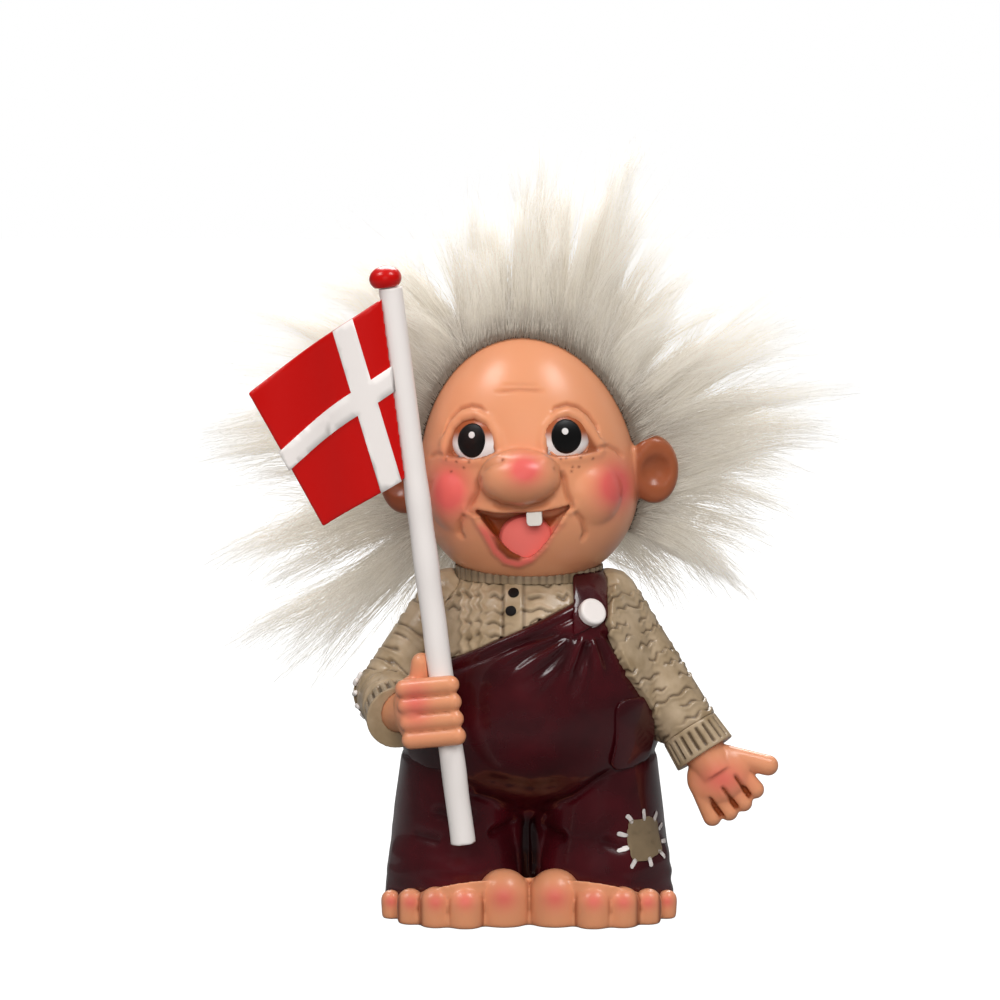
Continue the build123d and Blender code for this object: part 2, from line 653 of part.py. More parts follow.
# Collar: a band in the groove between the head and the sweater
with BuildPart() as collar:
    with BuildSketch(Plane.XY.offset(BELLY_HEIGHT + TRUNK_ABOVE - NECK_SINK + COLLAR_RISE)):
        Ellipse(COLLAR_RADIUS, COLLAR_RADIUS * TRUNK_DEPTH / TRUNK_WIDTH)
        Ellipse(
            COLLAR_RADIUS - COLLAR_WIDTH,
            COLLAR_RADIUS * TRUNK_DEPTH / TRUNK_WIDTH - COLLAR_WIDTH,
            mode=Mode.SUBTRACT,
        )
    extrude(amount=COLLAR_HEIGHT)
    add(head_placed, mode=Mode.SUBTRACT)
    for other in (trunk_solid, shoulder_strap.part, shirt_buttons.part):
        add(other, mode=Mode.SUBTRACT)

# Hands: an open left hand, and a right fist bored for the staff
left_hand_plane = Plane(origin=left_wrist, x_dir=(-LEFT_ARM.Z, 0, LEFT_ARM.X), z_dir=LEFT_ARM)


def left_point(across, back, reach):
    """A point in the left wrist's frame: across the palm to the thumb, to its back, and down the hand."""
    return left_hand_plane.from_local_coords(Vector(across, back, reach))


with BuildPart() as left_hand:
    palm_at = left_hand_plane.location * Location((0, 0, PALM_REACH))
    add(ellipsoid(PALM_RADII, palm_at))
    add(rod(left_point(0, 0, -WRIST_PLUG), left_point(0, 0, PALM_REACH), WRIST_RADIUS))
    for number in range(FINGERS):
        from_middle = number - (FINGERS - 1) / 2
        across = from_middle * FINGER_STEP - FINGER_SHIFT
        reach = FINGER_REACH - abs(from_middle)
        knuckle = left_point(across * FINGER_GATHER, 0, PALM_REACH)
        add(capsule(knuckle, left_point(across, -FINGER_CURL, reach), FINGER_RADIUS))
    thumb_tip = left_point(THUMB_OUT, -FINGER_CURL, THUMB_REACH)
    add(capsule(left_point(PALM_RADII[0] / 2, 0, PALM_REACH / 2), thumb_tip, THUMB_RADIUS))

fist_plane = Plane(origin=fist_at, x_dir=staff_side, z_dir=staff_axis)


def fist_point(across, back, up):
    """A point in the fist's frame: across the staff, behind it, and up it."""
    return fist_plane.from_local_coords(Vector(across, back, up))


with BuildPart() as right_hand:
    add(ellipsoid(FIST_RADII, fist_plane.location * Location(FIST_BACK)))
    add(ellipsoid(GRIP_RADII, fist_plane.location * Location((0, GRIP_BACK, 0))))
    finger_front = -(STAFF_DIAMETER / 2 + FINGER_RADIUS)
    for number in range(FINGERS):
        up = ((FINGERS - 1) / 2 - number) * FINGER_STEP
        knuckle = fist_point(-KNUCKLE_OUT, finger_front / 2, up)
        add(capsule(knuckle, fist_point(FINGERTIP, finger_front, up), FINGER_RADIUS))
    thumb_tip = fist_point(-STAFF_DIAMETER / 2 - THUMB_RADIUS / 2, THUMB_RADIUS / 2, FIST_THUMB_RISE)
    add(capsule(fist_point(FIST_BACK.X, THUMB_RADIUS, 0), thumb_tip, THUMB_RADIUS))
    add(rod(right_wrist - forearm * WRIST_PLUG, fist_point(*FIST_BACK), WRIST_RADIUS))
    bore_ends = (staff_foot, staff_foot + staff_axis * STAFF_LENGTH)
    add(rod(*bore_ends, STAFF_DIAMETER / 2 + GRIP_CLEARANCE), mode=Mode.SUBTRACT)
    add(dungarees.part, mode=Mode.SUBTRACT)

# Cuffs, then sleeves that stop at them
left_cuff = rod(left_cuff_start, left_wrist, SLEEVE_RADIUS, SLEEVE_RADIUS + CUFF_PROUD)
left_cuff = without(left_cuff, left_hand.part)
right_cuff = rod(right_cuff_start, right_wrist, SLEEVE_RADIUS, SLEEVE_RADIUS + CUFF_PROUD)
right_cuff = without(right_cuff, right_hand.part)

with BuildPart() as left_sleeve:
    with Locations(left_shoulder):
        Sphere(SHOULDER_RADIUS)
    add(rod(left_shoulder, left_cuff_start, SHOULDER_RADIUS, SLEEVE_RADIUS))
    for other in (trunk_solid, dungarees.part, shoulder_strap.part, left_hand.part, head_placed, collar.part):
        add(other, mode=Mode.SUBTRACT)
    add(left_tenon)

with BuildPart() as elbow_ball:
    with Locations(right_elbow):
        Sphere(SLEEVE_RADIUS)
right_arm_rods = (
    rod(right_shoulder, right_elbow, SHOULDER_RADIUS, SLEEVE_RADIUS),
    rod(right_elbow, right_cuff_start, SLEEVE_RADIUS),
)
with BuildPart() as right_sleeve:
    with Locations(right_shoulder):
        Sphere(SHOULDER_RADIUS)
    add(elbow_ball.part)
    add(right_arm_rods)
    for other in (trunk_solid, dungarees.part, right_hand.part, head_placed, collar.part):
        add(other, mode=Mode.SUBTRACT)
    add(right_tenon)

# Pockets on the hips
pocket_solid = trunk_cloth.grown(POCKET_THICKNESS).solid().moved(TRUNK_PLACE)
for side, name in ((-1, "right_pocket"), (1, "left_pocket")):
    seat = Plane(TRUNK_PLACE * trunk_cloth.seat(side * POCKET_AZIMUTH, POCKET_LEVEL).location)
    outline = prism(seat, POCKET_WIDTH, POCKET_HEIGHT, POCKET_CORNER, POCKET_HEIGHT)
    pocket = without(shared(outline, pocket_solid), dungarees.part, right_hand.part, right_cuff)
    keep(without(pocket, left_sleeve.part, right_sleeve.part), name)


# Knee patch and its stitches, on the left leg
def knee_point(across, up):
    """A point on the left leg, this far round from the patch's middle and above it."""
    out = unit(KNEE_AZIMUTH + degrees(2 * across / LEG_WIDTH))
    level = KNEE_HEIGHT + up
    proud = leg_flare(level) + STITCH_LIFT
    return Vector(LEG_SPREAD + (LEG_WIDTH / 2 + proud) * out.X, (LEG_DEPTH / 2 + proud) * out.Y, level)


knee_plane = Plane(origin=knee_point(0, 0), x_dir=unit(KNEE_AZIMUTH + 90), z_dir=unit(KNEE_AZIMUTH))
knee_outline = prism(knee_plane, PATCH_SIZE, PATCH_SIZE, PATCH_CORNER, PATCH_SIZE / 2)
knee_patch = without(shared(knee_outline, leg(1, PATCH_THICKNESS)), dungarees.part)
with BuildPart() as knee_stitches:
    for stitch in stitch_ring(knee_point, lambda turn: PATCH_SIZE / 2 / max(abs(cos(turn)), abs(sin(turn)))):
        add(without(stitch, leg(1)))

# Elbow patch and its stitches, on the right elbow
elbow_out = unit(ELBOW_AZIMUTH, ELBOW_RISE)
elbow_plane = Plane(origin=right_elbow, x_dir=unit(ELBOW_AZIMUTH + 90), z_dir=elbow_out)


def elbow_point(across, up):
    """A point on the elbow's ball, this far from the patch's middle in two directions."""
    away = Vector(across, up, SLEEVE_RADIUS).normalized()
    return elbow_plane.from_local_coords(away * (SLEEVE_RADIUS + STITCH_LIFT))


with BuildPart() as elbow_patch:
    with Locations(right_elbow):
        Sphere(SLEEVE_RADIUS + PATCH_THICKNESS)
    elbow_ends = (right_elbow + elbow_out * SLEEVE_RADIUS / 2, right_elbow + elbow_out * SLEEVE_RADIUS * 2)
    add(rod(*elbow_ends, ELBOW_PATCH / 4, ELBOW_PATCH), mode=Mode.INTERSECT)
    for other in (right_sleeve.part, dungarees.part, right_cuff):
        add(other, mode=Mode.SUBTRACT)
with BuildPart() as elbow_stitches:
    for stitch in stitch_ring(elbow_point, lambda turn: ELBOW_PATCH / 2 + PATCH_THICKNESS):
        add(without(stitch, elbow_ball.part, *right_arm_rods, dungarees.part, right_cuff))

# Flag staff and its finial
flag_pole = rod(staff_foot, staff_foot + staff_axis * STAFF_LENGTH, STAFF_DIAMETER / 2)
staff_top = Plane(origin=staff_foot + staff_axis * STAFF_LENGTH, x_dir=staff_side, z_dir=staff_axis)
ball_radii = (FINIAL_DIAMETER / 2, FINIAL_DIAMETER / 2, FINIAL_HEIGHT / (1 + FINIAL_SEAT))
with BuildPart() as pole_finial:
    ball_at = Location((-FINIAL_ASIDE, 0, ball_radii[2] * FINIAL_SEAT))
    add(ellipsoid(ball_radii, staff_top.location * ball_at))
    split(bisect_by=staff_top, keep=Keep.TOP)

# Flag: a waved sheet cut to its outline, with the cross standing proud on both faces
flag_face = Plane(origin=staff_top.origin, x_dir=-staff_side, z_dir=(0, 1, 0))
flag_depth = FLAG_TOP + FLAG_DROOP + FLAG_END
quarter = FLAG_FLY / 4
flag_wave = (
    (0, 0),
    (quarter, -FLAG_WAVE),
    (2 * quarter, 0),
    (3 * quarter, FLAG_WAVE),
    (4 * quarter + FLAG_SPARE, 0),
)


def flag_sheet(thickness):
    """The waved sheet before it is cut, from the staff's axis out past the fly."""
    with BuildPart() as sheet:
        with BuildSketch(staff_top):
            with BuildLine():
                ThreePointArc(*[(-out, back) for out, back in flag_wave[:3]])
                ThreePointArc(*[(-out, back) for out, back in flag_wave[2:]])
            trace(line_width=thickness)
        extrude(amount=-flag_depth)
    return sheet.part


with BuildPart() as flag_outline:
    with BuildSketch(flag_face):
        with BuildLine():
            Polyline(
                (0, -FLAG_TOP),
                (FLAG_FLY, -FLAG_TOP - FLAG_DROOP),
                (FLAG_FLY - FLAG_TUCK, -flag_depth),
                (0, -FLAG_TOP - FLAG_HOIST),
                close=True,
            )
        make_face()
    extrude(amount=FLAG_FLY, both=True)
with BuildPart() as cross_outline:
    with BuildSketch(flag_face):
        with BuildLine():
            Line((BAR_OUT, 0), (BAR_OUT - BAR_TUCK, -FLAG_TOP - FLAG_HOIST - BAR))
        trace(line_width=BAR)
        with BuildLine():
            Line((0, -FLAG_TOP - BAR_DOWN), (FLAG_FLY, -FLAG_TOP - BAR_DOWN - BAR_DROOP))
        trace(line_width=BAR)
    extrude(amount=FLAG_FLY, both=True)

flag_bore = rod(*bore_ends, STAFF_DIAMETER / 2 + FLAG_CLEARANCE)
flag_field = without(shared(flag_sheet(FLAG_THICKNESS), flag_outline.part), flag_bore)
flag_cross = shared(flag_sheet(FLAG_THICKNESS + 2 * CROSS_RELIEF), flag_outline.part, cross_outline.part)
flag_cross = without(flag_cross, flag_bore, flag_field)

keep(without(dungarees.part, left_tenon, head_placed, collar.part), "dungarees")
keep(feet.part, "feet")
keep(sweater_body.part, "sweater_body")
keep(shoulder_strap.part, "shoulder_strap")
keep(strap_button.part, "strap_button")
keep(shirt_buttons.part, "shirt_buttons")
keep(collar.part, "collar")
keep(left_hand.part, "left_hand")
keep(right_hand.part, "right_hand")
keep(left_cuff, "left_cuff")
keep(right_cuff, "right_cuff")
keep(left_sleeve.part, "left_sleeve")
keep(right_sleeve.part, "right_sleeve")
keep(knee_patch, "knee_patch")
keep(knee_stitches.part, "knee_stitches")
keep(elbow_patch.part, "elbow_patch")
keep(elbow_stitches.part, "elbow_stitches")
keep(flag_pole, "flag_pole")
keep(pole_finial.part, "pole_finial")
keep(flag_field, "flag_field")
keep(flag_cross, "flag_cross")
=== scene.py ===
"""Dresses a small cast troll figure: painted resin, fur wig, flag on a pole, and a white studio."""
import math

import bpy
import numpy as np
from bpy.props import FloatProperty, FloatVectorProperty, IntProperty, PointerProperty
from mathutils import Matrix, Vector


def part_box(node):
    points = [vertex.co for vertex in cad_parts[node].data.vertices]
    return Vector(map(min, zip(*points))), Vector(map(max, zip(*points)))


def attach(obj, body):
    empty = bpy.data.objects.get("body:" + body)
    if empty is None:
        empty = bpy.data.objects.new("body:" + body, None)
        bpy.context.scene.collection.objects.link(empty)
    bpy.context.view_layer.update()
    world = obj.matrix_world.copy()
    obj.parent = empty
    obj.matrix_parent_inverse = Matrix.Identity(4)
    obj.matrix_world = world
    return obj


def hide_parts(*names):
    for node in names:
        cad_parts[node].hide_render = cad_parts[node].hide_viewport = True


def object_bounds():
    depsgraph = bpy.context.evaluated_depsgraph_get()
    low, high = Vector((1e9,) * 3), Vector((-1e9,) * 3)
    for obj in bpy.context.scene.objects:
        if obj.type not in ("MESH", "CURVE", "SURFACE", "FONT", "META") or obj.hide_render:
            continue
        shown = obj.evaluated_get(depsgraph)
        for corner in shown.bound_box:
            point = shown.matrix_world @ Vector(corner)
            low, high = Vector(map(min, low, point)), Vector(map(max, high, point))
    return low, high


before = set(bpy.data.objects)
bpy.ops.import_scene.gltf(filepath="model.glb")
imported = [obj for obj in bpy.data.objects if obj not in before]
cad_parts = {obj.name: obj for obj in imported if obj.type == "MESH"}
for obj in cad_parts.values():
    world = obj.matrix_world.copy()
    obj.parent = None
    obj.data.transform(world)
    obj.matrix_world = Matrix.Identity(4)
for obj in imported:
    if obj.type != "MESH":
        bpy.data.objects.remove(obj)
CAD_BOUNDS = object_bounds()

bl_info = {
    "name": "Troll figure with flag",
    "version": (1, 0, 0),
    "blender": (4, 5, 0),
    "location": "3D View > Sidebar > Troll",
    "description": "Builds the cast, painted and furred pieces of a small folk troll over its solid model",
    "category": "Add Mesh",
}

MM = 0.001
MERGE = 1e-6
TINY = 1e-9  # keeps a division by zero away
UP = np.array((0.0, 0.0, 1.0))
VIEW_RISE = math.radians(7.0)
FACING_GAIN = 3  # how fast what is drawn on the front fades in from the figure's edge
CREASE_FADE = 0.18  # share of a crease's length over which each end fades


# Colour and shader helpers

def linear(code):
    """Linear RGBA of an sRGB hex colour."""
    parts = [int(code[i:i + 2], 16) / 255 for i in (1, 3, 5)]
    return tuple(p / 12.92 if p <= 0.04045 else ((p + 0.055) / 1.055) ** 2.4 for p in parts) + (1.0,)


def add(tree, kind, sockets=None, links=None, **settings):
    """Add one shader node with its settings, socket values and incoming links."""
    node = tree.nodes.new(kind)
    for name, value in settings.items():
        setattr(node, name, value)
    for key, value in (sockets or {}).items():
        node.inputs[key].default_value = value
    for key, source in (links or {}).items():
        tree.links.new(source, node.inputs[key])
    return node


def fresh(name):
    """An empty node material and its tree."""
    material = bpy.data.materials.new(name)
    material.use_nodes = True
    material.node_tree.nodes.clear()
    return material, material.node_tree


def close(tree, shader):
    """Hand a shader to the material's output."""
    add(tree, "ShaderNodeOutputMaterial", links={"Surface": shader.outputs[0]})


def stain(tree, under, colour, mask):
    """Lay a colour over another where a mask says so."""
    mix = add(tree, "ShaderNodeMix", {"B": colour}, {"A": under, "Factor": mask}, data_type="RGBA")
    return mix.outputs["Result"]


def mask(tree, name):
    """An amount that was painted on the piece's points."""
    return add(tree, "ShaderNodeAttribute", attribute_name=name).outputs["Fac"]


def noise(tree, span, detail):
    """A noise fixed to the piece, its patches about span mm across."""
    place = add(tree, "ShaderNodeTexCoord")
    patches = add(tree, "ShaderNodeTexNoise", {"Scale": 1 / (span * MM), "Detail": detail},
                  {"Vector": place.outputs["Object"]})
    return patches.outputs["Fac"]


def grain(tree, span, strength, depth):
    """The normals of a fine relief, its marks about span mm across and depth mm deep."""
    bump = add(tree, "ShaderNodeBump", {"Strength": strength, "Distance": depth * MM},
               {"Height": noise(tree, span, 2.0)})
    return bump.outputs["Normal"]


# Settings that a user would change

def colour_setting(name, description, code):
    """A colour, preset to an sRGB hex code."""
    return FloatVectorProperty(name=name, description=description, subtype="COLOR", size=4, min=0, max=1,
                               default=linear(code))


def length_setting(name, description, size, least):
    """A length, preset in mm."""
    return FloatProperty(name=name, description=description, unit="LENGTH", default=size * MM, min=least * MM)


class TrollFinish(bpy.types.PropertyGroup):
    """Paint and fur colours."""
    skin: colour_setting("Skin", "Skin paint", "#e59a70")
    blush: colour_setting("Blush", "Airbrushed pink on nose, cheeks, palm and toes", "#e5625d")
    # Brown of the wash and of the painted shade in creases, eye recesses, mouth, ears and instep.
    skin_wash_and_shade: colour_setting("Skin wash", "Brown wash left in the skin's creases", "#8a3f1c")
    dungarees: colour_setting("Dungarees", "Deep maroon lacquer", "#4a0c14")
    sweater: colour_setting("Sweater", "Khaki paint of the knit", "#bda689")
    # Dark of the wash and painted shade in the knit's grooves, rib slots and under the chin.
    sweater_wash_and_shade: colour_setting("Sweater wash", "Dark wash left in the knit", "#4a3826")
    flag_red: colour_setting("Flag red", "Red gloss paint", "#c60703")
    white: colour_setting("White paint", "Warm white paint of pole and cross", "#f3ebe6")
    fur_root: colour_setting("Fur root", "Grey of the fur at the backing", "#a89c8e")
    fur_tip: colour_setting("Fur tip", "White of the fur's ends", "#fffdf9")


class TrollSizes(bpy.types.PropertyGroup):
    """Sizes of the sculpting and the fur."""
    face_cell: length_setting("Face detail", "Mesh spacing of the head", 0.38, 0.2)
    cloth_cell: length_setting("Cloth detail", "Mesh spacing of the dungarees", 0.46, 0.2)
    fine_cell: length_setting("Fine detail", "Mesh spacing of knit, hands and feet", 0.32, 0.2)
    knit_row: length_setting("Knit row", "Spacing of the knitted rows", 3.1, 1)
    rib_step: length_setting("Rib step", "Spacing of the cuff ribs", 2.1, 1)
    strands: IntProperty(name="Strands", description="Fur strands in the whole wig", default=34000, min=100)
    strand_gauge: length_setting("Strand gauge", "Radius of a strand at its root", 0.062, 0.02)


# Selecting, skinning and carving

def deselect():
    """Leave nothing selected."""
    if bpy.context.mode != "OBJECT":
        bpy.ops.object.mode_set(mode="OBJECT")
    bpy.ops.object.select_all(action="DESELECT")


def pick(piece):
    """Select one piece alone."""
    deselect()
    piece.select_set(True)
    bpy.context.view_layer.objects.active = piece


def modify(piece, kind, **settings):
    """Add one modifier and apply it."""
    pick(piece)
    modifier = piece.modifiers.new(kind.title(), kind)
    for name, value in settings.items():
        setattr(modifier, name, value)
    bpy.ops.object.modifier_apply(modifier=modifier.name)


def reskin(piece, cell, rounds):
    """Give a piece an even skin and soften it."""
    modify(piece, "REMESH", mode="VOXEL", voxel_size=cell, use_smooth_shade=True)
    if rounds:
        modify(piece, "SMOOTH", factor=0.5, iterations=rounds)


def placed(name, mesh):
    """A new object of the scene with a mesh."""
    piece = bpy.data.objects.new(name, mesh)
    bpy.context.scene.collection.objects.link(piece)
    return piece


def join(first, others):
    """Make other pieces part of the first one."""
    pick(first)
    for other in others:
        other.select_set(True)
    bpy.ops.object.join()


def open_mesh(piece):
    """Start editing a piece's mesh, with all of it selected."""
    pick(piece)
    bpy.ops.object.mode_set(mode="EDIT")
    bpy.ops.mesh.select_all(action="SELECT")


def copied(name, nodes):
    """One merged copy of some solid nodes."""
    piece, *others = [placed(name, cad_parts[node].data.copy()) for node in nodes]
    if others:
        join(piece, others)
    piece.name = name
    piece.data.materials.clear()
    open_mesh(piece)
    bpy.ops.mesh.remove_doubles(threshold=MERGE)
    bpy.ops.object.mode_set(mode="OBJECT")
    return piece


def casting(name, nodes, cell, rounds):
    """A fine even skin over copies of solid nodes, as a mould would take it."""
    piece = copied(name, nodes)
    reskin(piece, cell, rounds)
    return piece


def read_points(mesh):
    """A mesh's points, in mm."""
    flat = np.empty(len(mesh.vertices) * 3, dtype=np.float32)
    mesh.vertices.foreach_get("co", flat)
    return flat.reshape(-1, 3).astype(float) / MM


class Clay:
    """A piece's points in millimetres, pushed along their normals and painted by attributes."""

    def __init__(self, piece):
        self.mesh = piece.data
        self.read()

    def read(self):
        """Take the points and normals from the mesh."""
        self.at = read_points(self.mesh)
        flat = np.empty(self.at.size, dtype=np.float32)
        self.mesh.vertex_normals.foreach_get("vector", flat)
        self.out = flat.reshape(-1, 3).astype(float)

    def drawn(self):
        """The points on the sheet that faces the portrait camera: across, and up."""
        up = self.at[:, 2] * math.cos(VIEW_RISE) + self.at[:, 1] * math.sin(VIEW_RISE)
        return np.column_stack((self.at[:, 0], up))

    def front(self):
        """1 where the surface faces the camera, fading to 0 at its edge."""
        return np.clip(-self.out[:, 1] * FACING_GAIN, 0, 1)

    def push(self, offset):
        """Move the points out along their normals, and settle them."""
        self.at += self.out * offset[:, None]
        self.settle()

    def settle(self):
        """Put the points back and take fresh normals."""
        self.mesh.vertices.foreach_set("co", (self.at * MM).astype(np.float32).ravel())
        self.mesh.update()
        self.read()

    def paint(self, name, amount):
        """Keep a value from 0 to 1 at every point."""
        layer = self.mesh.attributes.new(name, "FLOAT", "POINT")
        layer.data.foreach_set("value", np.clip(amount, 0, 1).astype(np.float32))


def unit(ways):
    """The same directions, with a length of 1."""
    return ways / np.linalg.norm(ways, axis=-1, keepdims=True)


def reach(points, line):
    """How far each point is from a line of corners, and where along it the nearest spot lies, in mm."""
    corners = np.asarray(line, dtype=float)
    best = np.full(len(points), np.inf)
    along = np.zeros(len(points))
    done = 0.0
    for start, end in zip(corners[:-1], corners[1:]):
        step = np.linalg.norm(end - start)
        way = (end - start) / step
        run = np.clip((points - start) @ way, 0, step)
        gap = np.linalg.norm(points - start - run[:, None] * way, axis=1)
        closer = gap < best
        best[closer] = gap[closer]
        along[closer] = done + run[closer]
        done += step
    return best, along, done


def bell(value, peak, width):
    """1 where a value is at its peak, fading to both sides of it."""
    return np.exp(-((value - peak) / width) ** 2)


def crease(points, line, width):
    """1 along the middle of a drawn line, fading across it and at its ends."""
    gap, along, whole = reach(points, line)
    ends = np.clip(np.minimum(along, whole - along) / (CREASE_FADE * whole), 0, 1)
    return bell(gap, 0, width) * ends


def within(points, outline):
    """Distance to a closed outline, positive inside it."""
    ring = list(outline) + [outline[0]]
    gap = reach(points, ring)[0]
    x, y = points[:, 0], points[:, 1]
    odd = np.zeros(len(points), dtype=bool)
    for (xa, ya), (xb, yb) in zip(ring[:-1], ring[1:]):
        if ya != yb:
            odd ^= ((ya > y) != (yb > y)) & (x < (xb - xa) * (y - ya) / (yb - ya) + xa)
    return np.where(odd, gap, -gap)


def ease(low, high, value):
    """A soft step from 0 at low to 1 at high."""
    t = np.clip((value - low) / (high - low), 0, 1)
    return t * t * (3 - 2 * t)


def drift(at, span, seed=0.0):
    """A slow wander between -1 and 1, the same on every run."""
    k = 2 * math.pi / span
    x, y, z = at[:, 0] * k, at[:, 1] * k, at[:, 2] * k
    first = np.sin(x + 1.7 * np.sin(0.63 * y + seed) + seed)
    second = np.sin(0.81 * y + 1.3 * np.sin(0.71 * z + 2 * seed) + 1.1)
    third = np.sin(0.93 * z + 1.9 * np.sin(0.57 * x + 3 * seed) + 2.3)
    return (first + second + third) / 3


def spot(points, centre, across, up):
    """A soft round patch on the drawn sheet."""
    return bell(points[:, 0], centre[0], across) * bell(points[:, 1], centre[1], up)


def dress(piece, body, slot, material, *nodes):
    """Give a piece its material and its body, and hide the solid nodes it stands for; the slot is not used.
    """
    pick(piece)
    bpy.ops.object.shade_smooth()
    piece.data.materials.clear()
    piece.data.materials.append(material)
    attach(piece, body)
    if nodes:
        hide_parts(*nodes)


# Materials

def skin_paint():
    """Cast resin under satin skin paint: soft shine, airbrushed blush, brown wash and painted shade in the
    creases, recesses and hollows.
    """
    look = bpy.context.scene.troll_finish
    material, tree = fresh("Painted resin skin")
    colour = add(tree, "ShaderNodeRGB")
    colour.outputs[0].default_value = look.skin
    layers = colour.outputs[0]
    for name, coat in (("blush", look.blush), ("wash_and_shade", look.skin_wash_and_shade), ("freckle", linear("#6a2a17"))):
        layers = stain(tree, layers, coat, mask(tree, name))
    shader = add(tree, "ShaderNodeBsdfPrincipled",
                 {"Roughness": 0.36, "IOR": 1.5, "Coat Weight": 0.35, "Coat Roughness": 0.26,
                  "Subsurface Weight": 0.06, "Subsurface Radius": (0.003, 0.0012, 0.0006)},
                 {"Base Color": layers})
    close(tree, shader)
    return material


def clouded(name, span, tones, wash_and_shade, relief, gloss):
    """Brushed paint: two tones in clouds span mm across, a wash with painted shade in the hollows, a fine
    relief and a gloss.
    """
    material, tree = fresh(name)
    ramp = add(tree, "ShaderNodeValToRGB", links={"Fac": noise(tree, span, 3.0)})
    for element, (stop, tone) in zip(ramp.color_ramp.elements, tones):
        element.position, element.color = stop, tone
    layers = stain(tree, ramp.outputs["Color"], wash_and_shade, mask(tree, "wash_and_shade"))
    close(tree, add(tree, "ShaderNodeBsdfPrincipled", gloss,
                    {"Base Color": layers, "Normal": grain(tree, *relief)}))
    return material


def dungaree_lacquer():
    """Maroon lacquer on resin: deep colour under a hard gloss, near black as wash and painted shade in the
    folds.
    """
    look = bpy.context.scene.troll_finish
    # Brush ripples about 1.6 mm across break up the reflections.
    return clouded("Maroon gloss lacquer", 12, ((0.3, linear("#2f070c")), (0.72, look.dungarees)),
                   linear("#140203"), (1.6, 0.10, 0.25),
                   {"Roughness": 0.26, "IOR": 1.45, "Coat Weight": 0.4, "Coat Roughness": 0.07})


def sweater_paint():
    """Khaki paint over a cast knit: satin shine on the ridges, dark wash and painted shade left between them.
    """
    look = bpy.context.scene.troll_finish
    # The cast grain is about 0.7 mm across.
    return clouded("Khaki satin paint", 5, ((0.3, linear("#9c8566")), (0.7, look.sweater)),
                   look.sweater_wash_and_shade, (0.7, 0.18, 0.2),
                   {"Roughness": 0.34, "IOR": 1.5, "Coat Weight": 0.3, "Coat Roughness": 0.2})


def plain_paint(name, code, roughness, coat, dark):
    """One flat coat of brushed paint, with a darker wash and painted shade where the piece has them."""
    material, tree = fresh(name)
    colour = add(tree, "ShaderNodeRGB")
    colour.outputs[0].default_value = code
    layers = stain(tree, colour.outputs[0], linear(dark), mask(tree, "wash_and_shade"))
    # Brush marks about 1.2 mm across.
    shader = add(tree, "ShaderNodeBsdfPrincipled",
                 {"Roughness": roughness, "IOR": 1.5, "Coat Weight": coat, "Coat Roughness": 0.12},
                 {"Base Color": layers, "Normal": grain(tree, 1.2, 0.08, 0.2)})
    close(tree, shader)
    return material


def fur_fibre():
    """Long acrylic fur: grey at the backing, silver along its length and white at the ends, softly shiny."""
    look = bpy.context.scene.troll_finish
    material, tree = fresh("Acrylic faux fur")
    ramp = add(tree, "ShaderNodeValToRGB", links={"Fac": mask(tree, "along")})
    ramp.color_ramp.elements[0].color = look.fur_root
    ramp.color_ramp.elements[1].color = look.fur_tip
    silver = ramp.color_ramp.elements.new(0.32)
    silver.color = linear("#e9e4da")
    layers = stain(tree, ramp.outputs["Color"], linear("#b5a99a"), mask(tree, "tone"))
    # The little light given off stands for what scatters from strand to strand.
    shader = add(tree, "ShaderNodeBsdfPrincipled",
                 {"Roughness": 0.42, "IOR": 1.5, "Emission Strength": 0.30},
                 {"Base Color": layers, "Emission Color": layers})
    soft = add(tree, "ShaderNodeBsdfTranslucent", links={"Color": layers})
    mixed = add(tree, "ShaderNodeMixShader", {"Fac": 0.5}, {1: shader.outputs[0], 2: soft.outputs[0]})
    close(tree, mixed)
    return material


PAINTS = {}


def paint(name):
    """A material of the figure, made once."""
    if name not in PAINTS:
        look = bpy.context.scene.troll_finish
        made = {
            "skin": skin_paint,
            "dungarees": dungaree_lacquer,
            "sweater": sweater_paint,
            "fur": fur_fibre,
            # Flat coats: name, colour, roughness, clear coat, colour of the wash and painted shade.
            # Warm white with a soft shine: pole, cross, stitches and strap button.
            "white": lambda: plain_paint("Warm white paint", tuple(look.white), 0.40, 0.1, "#8d827c"),
            # Cooler, wetter white, brown where the lid shades it.
            "eye_white": lambda: plain_paint("White eye enamel", linear("#efe9e6"), 0.3, 0.2, "#a4552f"),
            # Dull black dots: pupils and shirt buttons.
            "black": lambda: plain_paint("Black enamel", linear("#050404"), 0.42, 0.0, "#000000"),
            # Bright red under a gloss, with painted shade in the hollows beside the cross.
            "red": lambda: plain_paint("Red gloss paint", tuple(look.flag_red), 0.28, 0.12, "#5c0503"),
            # Soft pink without a shine, brown where the lip shades it.
            "tongue": lambda: plain_paint("Pink satin paint", linear("#f0766c"), 0.42, 0.0, "#7c2a1c"),
            # Shiny ivory.
            "tooth": lambda: plain_paint("Ivory enamel", linear("#efe9df"), 0.25, 0.3, "#a08c78"),
            # Dull brown cloth.
            "patch": lambda: plain_paint("Khaki patch paint", linear("#857258"), 0.42, 0.1, "#43351f"),
            # Matt grey-brown weave, seen between the roots of the fur.
            "backing": lambda: plain_paint("Woven wig backing", linear("#5a5148"), 0.9, 0.0, "#2c2620"),
        }
        PAINTS[name] = made[name]()
    return PAINTS[name]


# The face, drawn in millimetres on the sheet that faces the camera

